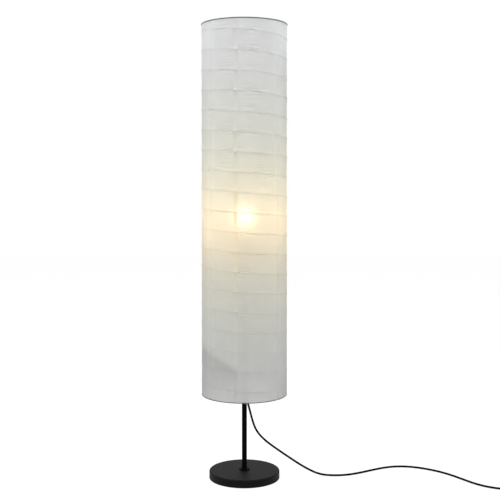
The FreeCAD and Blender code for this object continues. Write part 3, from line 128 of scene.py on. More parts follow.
def maths(tree: Tree, operation: str, *values: object) -> Socket:
    """The output of one Math node."""
    return add_node(tree, "ShaderNodeMath", dict(enumerate(values)), operation=operation).outputs[0]


def mixed(tree: Tree, share: object, first: object, second: object) -> Socket:
    """The output of one colour Mix node: 0, 6, 7 and 2 are its share, its two colours and its result."""
    return add_node(tree, "ShaderNodeMix", {0: share, 6: first, 7: second}, data_type="RGBA").outputs[2]


def spread(tree: Tree, value: Socket, low: float, high: float) -> Socket:
    """A noise value stretched from its usual 0.3 to 0.7 over low to high."""
    inputs = {"Value": value, "From Min": 0.3, "From Max": 0.7, "To Min": low, "To Max": high}
    return add_node(tree, "ShaderNodeMapRange", inputs).outputs["Result"]


def noise(tree: Tree, where: Socket, grain_mm: float, detail: float = 2.0) -> Socket:
    """Noise whose patches are about grain_mm across."""
    inputs = {"Vector": where, "Scale": 1 / (grain_mm * MM), "Detail": detail, "Roughness": 0.55}
    return add_node(tree, "ShaderNodeTexNoise", inputs).outputs["Fac"]


def stretched(tree: Tree, where: Socket, scale: Point) -> Socket:
    """Coordinates multiplied by scale along each axis."""
    return add_node(tree, "ShaderNodeMapping", {"Vector": where, "Scale": scale}).outputs["Vector"]


def bumped(tree: Tree, height: Socket, depth_mm: float) -> Socket:
    """The normal of a surface that rises depth_mm where height is 1."""
    inputs = {"Strength": 1.0, "Distance": depth_mm * MM, "Height": height}
    return add_node(tree, "ShaderNodeBump", inputs).outputs["Normal"]


def attribute(tree: Tree, name: str) -> Socket:
    """A value that the mesh carries under a name."""
    return add_node(tree, "ShaderNodeAttribute", None, attribute_name=name).outputs["Fac"]


def link_object(name: str, data: bpy.types.ID) -> Piece:
    """Put a new object in the scene.

    Args:
        name: Its name.
        data: Its mesh, curve, camera or lamp.

    Returns:
        The object, at the origin.
    """
    made = bpy.data.objects.new(name, data)
    bpy.context.scene.collection.objects.link(made)
    return made


def smooth_mesh(name: str, points: np.ndarray, faces: Sequence[Sequence[int]]) -> Mesh:
    """Make a smooth mesh with its doubled corners merged and its faces turned outwards.

    Args:
        name: The mesh's name.
        points: The place of each corner.
        faces: The corners of each face.

    Returns:
        The mesh.
    """
    mesh = bpy.data.meshes.new(name)
    mesh.from_pydata(points.tolist(), [], faces)
    work = bmesh.new()
    work.from_mesh(mesh)
    bmesh.ops.remove_doubles(work, verts=work.verts, dist=1e-6)
    bmesh.ops.recalc_face_normals(work, faces=work.faces)
    for face in work.faces:
        face.smooth = True
    work.to_mesh(mesh)
    work.free()
    return mesh


def grid_faces(rows: int, columns: int) -> list[tuple[int, int, int, int]]:
    """Faces of a grid of rows by columns points, numbered row by row."""
    starts = (r * columns + c for r in range(rows - 1) for c in range(columns - 1))
    return [(at, at + 1, at + columns + 1, at + columns) for at in starts]


def turned_mesh(
    name: str, profile: Sequence[tuple[float, float]], start: Vector, heading: Vector, sides: int = 40
) -> Mesh:
    """A turned solid.

    Args:
        name: The mesh's name.
        profile: Its outline as (distance along the axis, radius), from one end on the axis to the other.
        start: Where the axis begins.
        heading: The direction of the axis.
        sides: How many columns go round it.

    Returns:
        The closed mesh.
    """
    axis = heading.normalized()
    across = axis.orthogonal().normalized()
    other = axis.cross(across)
    points = [
        start + axis * along + (across * math.cos(angle) + other * math.sin(angle)) * radius
        for along, radius in profile
        for angle in (2 * math.pi * c / sides for c in range(sides + 1))
    ]
    return smooth_mesh(name, np.array(points), grid_faces(len(profile), sides + 1))


def grown(name: str, mesh: Mesh, group: Tree, **settings: object) -> Piece:
    """Run a node group over a mesh and keep what comes out as a plain mesh.

    Args:
        name: The piece's name.
        mesh: The mesh that goes in.
        group: The geometry node group.
        settings: Values for the group's named inputs.

    Returns:
        The finished piece, without the modifier.
    """
    seed = link_object(f"{name}_seed", mesh)
    modifier = seed.modifiers.new("grow", "NODES")
    modifier.node_group = group
    sockets = {s.name: s.identifier for s in group.interface.items_tree if s.in_out == "INPUT"}
    for label, value in settings.items():
        modifier[sockets[label]] = value
    evaluated = seed.evaluated_get(bpy.context.evaluated_depsgraph_get())
    made = bpy.data.meshes.new_from_object(evaluated)
    bpy.data.objects.remove(seed)
    return link_object(name, made)


def open_group(name: str, inputs: dict[str, str]) -> tuple[Tree, dict[str, Socket]]:
    """Begin a geometry node group with one output, called Made.

    Args:
        name: The group's name.
        inputs: The kind of socket for each named input.

    Returns:
        The group, and the sockets inside it that its inputs come from.
    """
    group = bpy.data.node_groups.new(name, "GeometryNodeTree")
    for label, kind in inputs.items():
        group.interface.new_socket(label, in_out="INPUT", socket_type=f"NodeSocket{kind}")
    group.interface.new_socket("Made", in_out="OUTPUT", socket_type="NodeSocketGeometry")
    given = add_node(group, "NodeGroupInput").outputs
    return group, {label: given[label] for label in inputs}


def close_group(group: Tree, made: Socket, finish: Socket) -> None:
    """End a geometry node group: what it made is turned real and smooth, and gets its finish.

    Args:
        group: The group.
        made: The geometry that it made.
        finish: The material for it.
    """
    real = add_node(group, "GeometryNodeRealizeInstances", {"Geometry": made})
    rounded = add_node(group, "GeometryNodeSetShadeSmooth", {"Geometry": real.outputs[0]})
    coated = add_node(
        group, "GeometryNodeSetMaterial", {"Geometry": rounded.outputs[0], "Material": finish}
    )
    add_node(group, "NodeGroupOutput", {"Made": coated.outputs[0]})


def round_points(angle: np.ndarray, radius: np.ndarray | float, height: np.ndarray) -> np.ndarray:
    """Points at an angle, a radius and a height round the Z axis, along a last axis of three."""
    return np.stack([radius * np.cos(angle), radius * np.sin(angle), height], axis=-1)


def wire_group() -> Tree:
    """Build the group that turns a line of points into a round wire with closed ends.

    Returns:
        The group, with inputs Line, Radius, Sides and Finish.
    """
    kinds = {"Line": "Geometry", "Radius": "Float", "Sides": "Int", "Finish": "Material"}
    group, given = open_group("round_wire", kinds)
    line = add_node(group, "GeometryNodeMeshToCurve", {"Mesh": given["Line"]})
    circle = {"Resolution": given["Sides"], "Radius": given["Radius"]}
    section = add_node(group, "GeometryNodeCurvePrimitiveCircle", circle)
    sweep = {"Curve": line.outputs["Curve"], "Profile Curve": section.outputs["Curve"], "Fill Caps": True}
    tube = add_node(group, "GeometryNodeCurveToMesh", sweep)
    close_group(group, tube.outputs["Mesh"], given["Finish"])
    return group


def bead_group() -> Tree:
    """Build the group that sets flattened weld beads evenly on a level circle.

    Returns:
        The group, with inputs Count, Circle, Centre, Turn, Bead and Finish.
    """
    kinds = {"Count": "Int", "Circle": "Float", "Centre": "Vector", "Turn": "Rotation"}
    kinds |= {"Bead": "Float", "Finish": "Material"}
    group, given = open_group("weld_beads", kinds)
    ring = {"Vertices": given["Count"], "Radius": given["Circle"]}
    circle = add_node(group, "GeometryNodeMeshCircle", ring)
    place = {"Geometry": circle.outputs["Mesh"], "Translation": given["Centre"], "Rotation": given["Turn"]}
    placed = add_node(group, "GeometryNodeTransform", place)
    bead = add_node(group, "GeometryNodeMeshIcoSphere", {"Radius": given["Bead"], "Subdivisions": 3})
    spots = {"Points": placed.outputs[0], "Instance": bead.outputs["Mesh"], "Scale": (1.0, 1.0, 0.75)}
    copies = add_node(group, "GeometryNodeInstanceOnPoints", spots)
    close_group(group, copies.outputs[0], given["Finish"])
    return group


# ---------------------------------------------------------------- finishes


def blank_material(name: str) -> tuple[bpy.types.Material, Tree]:
    """Make a material with nothing in it yet.

    Args:
        name: The material's name.

    Returns:
        The material and its empty node tree.
    """
    material = bpy.data.materials.new(name)
    material.use_nodes = True
    material.node_tree.nodes.clear()
    return material, material.node_tree


@dataclass(frozen=True)
class Finish:
    """A hard finish: its colour drifts in patches, and a fine grain is in its gloss and its relief.

    Sizes of patches, grain and relief are in millimetres; stretch squeezes the grain along an axis, for
    brushing or moulding lines.
    """

    name: str
    colour: str
    patch_colour: str
    roughness: float
    metallic: float = 0.0
    specular: float = 0.5
    patch: float = 14.0
    grain: float = 0.6
    relief: float = 0.01
    swing: float = 0.06
    stretch: Point = (1.0, 1.0, 1.0)
    glow: float = 0.0

    def build(self) -> bpy.types.Material:
        """Make the material, once for each name.

        Returns:
            The material.
        """
        if self.name in bpy.data.materials and bpy.data.materials[self.name].get("dressed"):
            return bpy.data.materials[self.name]
        material, tree = blank_material(self.name)
        where = add_node(tree, "ShaderNodeTexCoord").outputs["Object"]
        patches = spread(tree, noise(tree, where, self.patch, detail=3.0), 0.0, 1.0)
        fine = noise(tree, stretched(tree, where, self.stretch), self.grain)
        inputs = {
            "Base Color": mixed(tree, patches, linear(self.colour), linear(self.patch_colour)),
            "Metallic": self.metallic,
            "Roughness": spread(tree, fine, self.roughness - self.swing, self.roughness + self.swing),
            "Specular IOR Level": self.specular,
            "Normal": bumped(tree, fine, self.relief),
        }
        if self.glow:
            inputs |= {"Emission Color": linear(self.colour), "Emission Strength": self.glow}
        shader = add_node(tree, "ShaderNodeBsdfPrincipled", inputs)
        add_node(tree, "ShaderNodeOutputMaterial", {"Surface": shader.outputs[0]})
        material["dressed"] = True
        return material


@dataclass(frozen=True)
class RicePaper:
    """Washi: a thin cloudy sheet with long fibres that light shines through.

    The painted glow, an emission of the sheet, stands in for the lamp's light on the sheet's inside, which
    falls off with the height above or below the bulb as on the wall of a round room; a painted warm tint
    near the bulb adds to it. Light that goes nearly straight on through the sheet shows the bulb as a soft
    pale spot in a wider warm haze. The sheet's attributes say where the wire's painted shadow and the
    painted light above it fall, and where a painted soft shadow lies low on the left. Sizes of clouds,
    fibres, creases and tooth are in millimetres.
    """

    name: str
    colour: str
    fibre_colour: str
    # Painted warm tint that stands in for the bulb's light near it: its colour, reach and fall.
    glow_tint_colour: str = "#eef3ea"
    glow_tint_reach: float = 0.300
    glow_tint_fall: float = -1.0
    roughness: float = 0.85
    specular: float = 0.15
    through: float = 0.45
    haze: float = 0.12
    haze_colour: str = "#fffbf2"
    haze_roughness: float = 0.85
    haze_ior: float = 1.3
    spot: float = 0.035
    spot_roughness: float = 0.6
    spot_ior: float = 1.15
    # Painted glow: the sheet's emission that stands in for the bulb's light, with its colour, strength,
    # height, reach and fall.
    glow_colour: str = "#ffb246"
    glow: float = 0.39
    glow_height: float = 0.664
    glow_reach: float = 0.116
    glow_fall: float = -1.5
    # Painted shadow of the wire, painted light just above it, and the painted soft shadow low on the left.
    wire_shadow: float = 0.030
    wire_light: float = 0.04
    painted_shadow: float = 0.24
    cloud: float = 38.0
    cloud_shades: tuple[float, float] = (0.98, 1.012)
    fibre: float = 2.6
    fibre_squeeze: float = 0.12
    fibre_leans: tuple[float, float] = (0.5, -0.9)
    fibre_range: tuple[float, float] = (0.62, 0.72)
    fibre_share: float = 0.35
    crease: float = 5.5
    crease_squeeze: float = 0.22
    crease_patch: float = 70.0
    crease_range: tuple[float, float] = (-0.4, 1.2)
    crease_depth: float = 5.0
    tooth: float = 1.6
    tooth_share: float = 0.01

    def build(self) -> bpy.types.Material:
        """Make the material: reflecting, translucent and a little see-through.

        Returns:
            The material.
        """
        material, tree = blank_material(self.name)
        where = add_node(tree, "ShaderNodeTexCoord").outputs
        unrolled = where["UV"]
        height = add_node(tree, "ShaderNodeSeparateXYZ", {0: where["Object"]}).outputs["Z"]
        shade = self.shade(tree, unrolled)
        tint = self.tint(tree, unrolled, height, shade)
        relief = self.relief(tree, unrolled)
        fall = self.fall(tree, height, self.glow_reach, self.glow_fall)
        sheet = {
            "Base Color": tint,
            "Roughness": self.roughness,
            "Specular IOR Level": self.specular,
            "Normal": relief,
            "Emission Color": linear(self.glow_colour),
            "Emission Strength": maths(tree, "MULTIPLY", maths(tree, "MULTIPLY", fall, self.glow), shade),
        }
        light = {"Color": tint, "Normal": relief}
        haze = {"Color": linear(self.haze_colour), "Roughness": self.haze_roughness, "IOR": self.haze_ior}
        spot = {"Roughness": self.spot_roughness, "IOR": self.spot_ior}
        whole = add_node(tree, "ShaderNodeBsdfPrincipled", sheet)
        for share, kind, inputs in (
            (self.through, "Translucent", light),
            (self.haze, "Refraction", haze | {"Normal": relief}),
            (self.spot, "Refraction", spot | {"Normal": relief}),
        ):
            layer = add_node(tree, f"ShaderNodeBsdf{kind}", inputs)
            both = {0: share, 1: whole.outputs[0], 2: layer.outputs[0]}
            whole = add_node(tree, "ShaderNodeMixShader", both)
        add_node(tree, "ShaderNodeOutputMaterial", {"Surface": whole.outputs[0]})
        return material

    def fall(self, tree: Tree, height: Socket, reach: float, power: float) -> Socket:
        """How light from the bulb falls off with the height above or below it."""
        off = maths(tree, "DIVIDE", maths(tree, "SUBTRACT", height, self.glow_height), reach)
        return maths(tree, "POWER", maths(tree, "ADD", maths(tree, "MULTIPLY", off, off), 1.0), power)

    def tint(self, tree: Tree, unrolled: Socket, height: Socket, shade: Socket) -> Socket:
        """Colour the sheet: paler fibres on a ground with a painted warm tint near the bulb, for its light.

        Args:
            tree: The material's tree.
            unrolled: Where a point lies on the sheet laid flat.
            height: The point's height.
            shade: Its brightness.

        Returns:
            The colour.
        """
        crossed = maths(tree, "MAXIMUM", *(self.fibres(tree, unrolled, lean) for lean in self.fibre_leans))
        warm = self.fall(tree, height, self.glow_tint_reach, self.glow_tint_fall)
        ground = mixed(tree, warm, linear(self.colour), linear(self.glow_tint_colour))
        share = maths(tree, "MULTIPLY", crossed, self.fibre_share)
        paper = mixed(tree, share, ground, linear(self.fibre_colour))
        tinted = add_node(tree, "ShaderNodeVectorMath", {0: paper, "Scale": shade}, operation="SCALE")
        return tinted.outputs[0]

    def fibres(self, tree: Tree, unrolled: Socket, lean: float) -> Socket:
        """Draw thin long fibres.

        Args:
            tree: The material's tree.
            unrolled: Where a point lies on the sheet laid flat.
            lean: The fibres' angle in radians.

        Returns:
            1 on a fibre and 0 beside it.
        """
        squeeze = {"Vector": unrolled, "Rotation": (0, 0, lean), "Scale": (1.0, self.fibre_squeeze, 1.0)}
        turned = add_node(tree, "ShaderNodeMapping", squeeze).outputs["Vector"]
        first, last = self.fibre_range
        inputs = {"Value": noise(tree, turned, self.fibre, detail=1.0), "From Min": first, "From Max": last}
        return add_node(tree, "ShaderNodeMapRange", inputs).outputs["Result"]

    def shade(self, tree: Tree, unrolled: Socket) -> Socket:
        """Shade the sheet: its clouds, the wire's painted shadow and painted light, and the painted soft
        shadow low on its left.

        Args:
            tree: The material's tree.
            unrolled: Where a point lies on the sheet laid flat.

        Returns:
            The brightness, about 1.
        """
        weights = {"wire_shadow": -self.wire_shadow, "wire_light": self.wire_light, "painted_shadow": -self.painted_shadow}
        level = 1.0
        for name, weight in weights.items():
            level = maths(tree, "ADD", maths(tree, "MULTIPLY", attribute(tree, name), weight), level)
        clouds = spread(tree, noise(tree, unrolled, self.cloud, detail=4.0), *self.cloud_shades)
        return maths(tree, "MULTIPLY", level, clouds)

    def relief(self, tree: Tree, unrolled: Socket) -> Socket:
        """Raise level creases that come and go along the wire, and the sheet's own fine tooth.

        Args:
            tree: The material's tree.
            unrolled: Where a point lies on the sheet laid flat.

        Returns:
            The normal.
        """
        here = spread(tree, noise(tree, unrolled, self.crease_patch, detail=1.0), *self.crease_range)
        loose = maths(tree, "MULTIPLY", attribute(tree, "near_wire"), maths(tree, "MAXIMUM", here, 0.0))
        folds = noise(tree, stretched(tree, unrolled, (self.crease_squeeze, 1.0, 1.0)), self.crease)
        creases = maths(tree, "MULTIPLY", folds, loose)
        tooth = maths(tree, "MULTIPLY", noise(tree, unrolled, self.tooth), self.tooth_share)
        return bumped(tree, maths(tree, "ADD", creases, tooth), self.crease_depth)


# Black powder coat: a very fine orange peel that stays matt, with a soft sheen at low angles.
POWDER_COAT = Finish(
    "powder_coat", "#0a0a0a", "#0e0e0e", 0.58, specular=0.09, patch=30, grain=0.9, relief=0.02
)
# The same coat on the pole, made darker and flatter: painted shade on the thin pole and its collar.
SHADED_POLE_COAT = Finish(
    "shaded_pole_coat", "#050505", "#080808", 0.6, specular=0.03, patch=40, grain=0.8, relief=0.01
)
# Black foam pad: open cells that swallow the light.
FOAM = Finish("foam", "#161616", "#242424", 0.95, specular=0.1, patch=5, grain=1.4, relief=0.3)
# Cast iron weight: dark, rough from the sand of the mould, with duller patches.
CAST_IRON = Finish("cast_iron", "#454543", "#35322f", 0.7, metallic=0.6, patch=9, grain=1.2, relief=0.12)
# Zinc plate: pale, bluish, with cloudy bright and dull patches.
ZINC_PLATE = Finish("zinc_plate", "#b4b7bb", "#9b9d9c", 0.34, metallic=1.0, patch=6, grain=0.8)
# Grey lacquered wire: a soft satin over drawn steel.
GREY_LACQUER = Finish("grey_lacquer", "#737371", "#646462", 0.5, metallic=0.2, patch=12, grain=0.5)
# Galvanised wire of the ribs: pale and dull, so that it hardly shows through the paper.
DRAWN_WIRE = Finish("drawn_wire", "#c3c3bf", "#adada9", 0.5, metallic=0.3, patch=10, grain=0.4)
# Nickel plate: warm white metal, almost a mirror.
NICKEL_PLATE = Finish(
    "nickel_plate", "#c4c1bb", "#b3b0a8", 0.22, metallic=1.0, patch=9, grain=0.6, swing=0.05
)
# Soft black PVC: waxy, low gloss, with a faint bloom.
SOFT_PVC = Finish("soft_pvc", "#0b0b0b", "#121212", 0.5, specular=0.2, patch=5, grain=0.4)
# Black PVC cord jacket: smooth, with the die's faint bloom along it.
CORD_JACKET = Finish("cord_jacket", "#040404", "#080808", 0.5, specular=0.03, patch=9, grain=0.5)
# Black thermoset of the lampholder: hard and glossy.
HOLDER_PLASTIC = Finish("holder_plastic", "#171717", "#1d1d1d", 0.3, patch=10, grain=0.7, swing=0.04)
# Glazed porcelain: warm white under a clear glaze.
PORCELAIN = Finish("porcelain", "#ebe8e1", "#e0dbd0", 0.18, patch=7, grain=1.5, swing=0.04)
# Brass contacts: yellow, with browner handling marks.
BRASS = Finish("brass", "#cfa95c", "#b58f48", 0.3, metallic=1.0, patch=4, grain=0.5)
# Brown lead insulation: thin and slightly glossy.
LEAD_INSULATION = Finish("lead_insulation", "#5a3a26", "#4d3120", 0.4, patch=3, grain=0.4)
# Tinned contact: grey solder with a soft shine.
TIN = Finish("tin", "#c6c6c4", "#acacab", 0.36, metallic=1.0, patch=2, grain=0.3)
# White polycarbonate of the bulb's housing: satin.
WHITE_HOUSING = Finish("white_housing", "#efeeea", "#e7e5df", 0.4, patch=14, grain=0.8)
# White solder mask of the circuit board: satin with the glass cloth's fine weave.
SOLDER_MASK = Finish("solder_mask", "#f0efe9", "#e6e4da", 0.45, patch=3, grain=0.5, relief=0.03)
# Opal diffuser: lit from inside, almost even.
OPAL = Finish("opal", "#ffe9bc", "#ffedc8", 0.35, patch=18, grain=1.0, glow=7.0)
# Matt black ABS of the switch: spark-eroded grain.
SWITCH_PLASTIC = Finish(
    "switch_plastic", "#171717", "#1e1e1e", 0.5, specular=0.4, patch=12, grain=0.5, relief=0.03
)
# Button plastic: the same grain, polished by feet.
BUTTON_PLASTIC = Finish("button_plastic", "#202020", "#292929", 0.34, patch=6, grain=0.6, relief=0.02)
# Spring steel: bright with blue-grey patches from tempering.
SPRING_STEEL = Finish("spring_steel", "#9c9da0", "#85878c", 0.3, metallic=1.0, patch=3, grain=0.3)
# Beige phenolic of the contact block: dull with darker flow marks.
CONTACT_BLOCK = Finish("contact_block", "#d9d2c0", "#c9c0aa", 0.55, patch=5, grain=0.6)
# Plug rubber: matt, with a fine moulded grain.
PLUG_RUBBER = Finish(
    "plug_rubber", "#1a1a1a", "#212121", 0.5, specular=0.4, patch=8, grain=0.5, relief=0.03
)
# Nickelled brass pins and cap: a slightly yellow nickel.
NICKELLED_BRASS = Finish("nickelled_brass", "#cdc6b4", "#bab29c", 0.26, metallic=1.0, patch=4, grain=0.5)
# Rice paper, and the double layer along the seam, which is paler and lets less light through.
PAPER = RicePaper("rice_paper_sheet", "#ecedf3", "#f4f5fa")
SEAM_PAPER = RicePaper(
    "rice_paper_seam_sheet", "#f6f6f8", "#fbfbfc", spot=0.02, haze=0.08, wire_shadow=0.02
)


def dress(finish: Finish, *names: str) -> None:
    """Give CAD nodes a finish in all their material slots.

    Args:
        finish: What they are made of.
        names: The nodes.
    """
    material = finish.build()
    for name in names:
        materials = bpy.data.objects[name].data.materials
        for slot in range(len(materials)):
            materials[slot] = material
        LOG.info("%s: %s", name, finish.name)


def coat(piece: Piece, finish: Finish | RicePaper) -> Piece:
    """Give a new piece its finish.

    Args:
        piece: The piece.
        finish: What it is made of.

    Returns:
        The same piece.
    """
    piece.data.materials.clear()
    piece.data.materials.append(finish.build())
    return piece


def settle(piece: Piece, body: Body, slot: str, *nodes: str) -> Piece:
    """Let a new piece ride on its body and stand for CAD nodes.

    Args:
        piece: The piece.
        body: The body that it moves with.
        slot: The record's material, not used.
        nodes: The CAD nodes that it replaces, none where it is added to them.

    Returns:
        The same piece.
    """
    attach(piece, body.value)
    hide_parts(*nodes)
    LOG.info("%s: %s", piece.name, ", ".join(nodes) or "added")
    return piece


def wire_piece(
    name: str, points: np.ndarray, radius: float, finish: Finish, wires: Tree, sides: int = 8
) -> Piece:
    """Draw a round wire through points, as one mesh.

    Args:
        name: The piece's name.
        points: Places along the wire.
        radius: The wire's radius.
        finish: What it is made of.
        wires: The node group that gives a line its thickness.
        sides: Faces round the wire.

    Returns:
        The piece, not yet on a body.
    """
    line = bpy.data.meshes.new(f"{name}_line")
    line.from_pydata(points.tolist(), [(i, i + 1) for i in range(len(points) - 1)], [])
    return grown(name, line, wires, Radius=radius, Sides=sides, Finish=finish.build())


# ---------------------------------------------------------------- studio


@dataclass
class Studio:
    """The camera of the photograph, soft lights, and a white floor and world."""

    camera_place: Point = (0.0, -2.328, 0.753)
    camera_dip: float = 3.8
    camera_turn: float = 0.36
    focal_pixels: float = 903.0
    picture_pixels: float = 500.0
    sensor: float = 36.0
    horizon_level: float = 0.36
    zenith_level: float = 0.71
    floor_side: float = 16.0
    floor_drop: float = 0.3 * MM
    floor_white: float = 0.88
    floor_shadow: str = "#777777"
    floor_paints: tuple[str, str] = ("#969696", "#9c9c9c")
    floor_grain: float = 40.0
    lamp_aim: Point = (0.0, 0.0, 0.75)
    lamp_side: float = 1.0
    # Each soft box by name, with its place and its power: one on either side, the stronger on the left.
    lamps: tuple[tuple[str, Point, float], ...] = (
        ("key_light", (-1.7, -0.95, 2.3), 37.0),
        ("fill_light", (1.7, -0.95, 2.3), 32.0),
    )

    def build(self) -> None:
        """Make the camera, the world, the floor and the lights."""
        self.camera()
        self.world()
        self.floor()
        for name, place, power in self.lamps:
            self.lamp(name, place, power)

    def camera(self) -> None:
        """Camera fitted to the ellipses of the rims and of the base."""
        data = bpy.data.cameras.new("photo_camera")
        data.sensor_width = self.sensor
        data.lens = self.focal_pixels / self.picture_pixels * self.sensor
        camera = link_object("photo_camera", data)
        camera.location = self.camera_place
        camera.rotation_euler = (math.radians(90 - self.camera_dip), 0, -math.radians(self.camera_turn))
        bpy.context.scene.camera = camera
        bpy.context.scene.view_settings.view_transform = "Standard"

    def background_rays(self, tree: Tree) -> Socket:
        """Tell the camera's rays, and what metal or glass sends on, from the rays that light things.

        Args:
            tree: The tree of the world or of the floor.

        Returns:
            1 for a ray that shows the background.
        """
        path = add_node(tree, "ShaderNodeLightPath").outputs
        sent_on = maths(tree, "MAXIMUM", path["Is Glossy Ray"], path["Is Transmission Ray"])
        clear = maths(tree, "MULTIPLY", sent_on, maths(tree, "SUBTRACT", 1.0, path["Is Diffuse Ray"]))
        return maths(tree, "MAXIMUM", path["Is Camera Ray"], clear)

    def world(self) -> None:
        """Soft light from all round, brighter from above, and plain white where the background shows."""
        world = bpy.data.worlds.new("studio_world")
        world.use_nodes = True
        tree = world.node_tree
        tree.nodes.clear()
        direction = add_node(tree, "ShaderNodeTexCoord").outputs["Generated"]
        split = add_node(tree, "ShaderNodeSeparateXYZ", {0: direction}).outputs
        up = maths(tree, "MAXIMUM", split["Z"], 0.0)
        rise = maths(tree, "MULTIPLY", up, self.zenith_level - self.horizon_level)
        level = maths(tree, "ADD", rise, self.horizon_level)
        lights = ({"Color": linear("#ffffff"), "Strength": strength} for strength in (level, 1.0))
        lit, white = (add_node(tree, "ShaderNodeBackground", light).outputs[0] for light in lights)
        both = add_node(tree, "ShaderNodeMixShader", {0: self.background_rays(tree), 1: lit, 2: white})
        add_node(tree, "ShaderNodeOutputWorld", {"Surface": both.outputs[0]})
        bpy.context.scene.world = world

    def floor(self) -> None:
        """A pale floor that reads white and still takes the lamp's soft shadow."""
        half = self.floor_side / 2
        sides = ((-half, -half), (half, -half), (half, half), (-half, half))
        corners = np.array([(x, y, -self.floor_drop) for x, y in sides])
        floor = link_object("floor", smooth_mesh("floor", corners, [(0, 1, 2, 3)]))
        material, tree = blank_material("white_floor")
        where = add_node(tree, "ShaderNodeTexCoord").outputs["Object"]
        grain = spread(tree, noise(tree, where, self.floor_grain), 0.0, 1.0)
        paint = mixed(tree, grain, *(linear(colour) for colour in self.floor_paints))
        matt = add_node(tree, "ShaderNodeBsdfDiffuse", {"Color": paint})
        glow = {"Color": linear("#ffffff"), "Strength": self.floor_white}
        white = add_node(tree, "ShaderNodeEmission", glow)
        faint = add_node(tree, "ShaderNodeBsdfDiffuse", {"Color": linear(self.floor_shadow)})
        shown = add_node(tree, "ShaderNodeAddShader", {0: white.outputs[0], 1: faint.outputs[0]})
        choice = {0: self.background_rays(tree), 1: matt.outputs[0], 2: shown.outputs[0]}
        both = add_node(tree, "ShaderNodeMixShader", choice)
        add_node(tree, "ShaderNodeOutputMaterial", {"Surface": both.outputs[0]})
        floor.data.materials.append(material)

    def lamp(self, name: str, place: Point, power: float) -> None:
        """Hang a square soft box that looks at the middle of the lamp.

        Args:
            name: Its name.
            place: Where it hangs.
            power: Its power in watts.
        """
        data = bpy.data.lights.new(name, "AREA")
        data.shape = "SQUARE"
        data.size = self.lamp_side
        data.energy = power
        lamp = link_object(name, data)
        lamp.location = place
        aim = Vector(self.lamp_aim) - Vector(place)
        lamp.rotation_euler = aim.to_track_quat("-Z", "Y").to_euler()


# ---------------------------------------------------------------- cords, switch and plug


@dataclass(frozen=True)
class FloorLine:
    """Where the foot switch lies, and points measured along it."""

    centre: Point = (0.7357, -0.1345, 0.0)
    bearing: float = -16.0
    case_length: float = 0.076
    relief_length: float = 0.022
    entry_height: float = 0.0042

    def along(self, forward: float, left: float = 0.0, height: float = 0.0) -> Vector:
        """Find a point near the switch.

        Args:
            forward: How far it is ahead of the switch's middle, along the cord.
            left: How far it is to the left.
            height: How far it is above the floor.

        Returns:
            The point.
        """
        turn = math.radians(self.bearing)
        ahead = Vector((math.cos(turn), math.sin(turn), 0))
        aside = Vector((-math.sin(turn), math.cos(turn), 0))
        return Vector(self.centre) + ahead * forward + aside * left + Vector((0, 0, height))

    def mouth(self, side: int) -> Vector:
        """The tip of a strain relief: side is -1 where the cord comes in and 1 where it leaves."""
        return self.along(side * (self.case_length / 2 + self.relief_length), 0, self.entry_height)


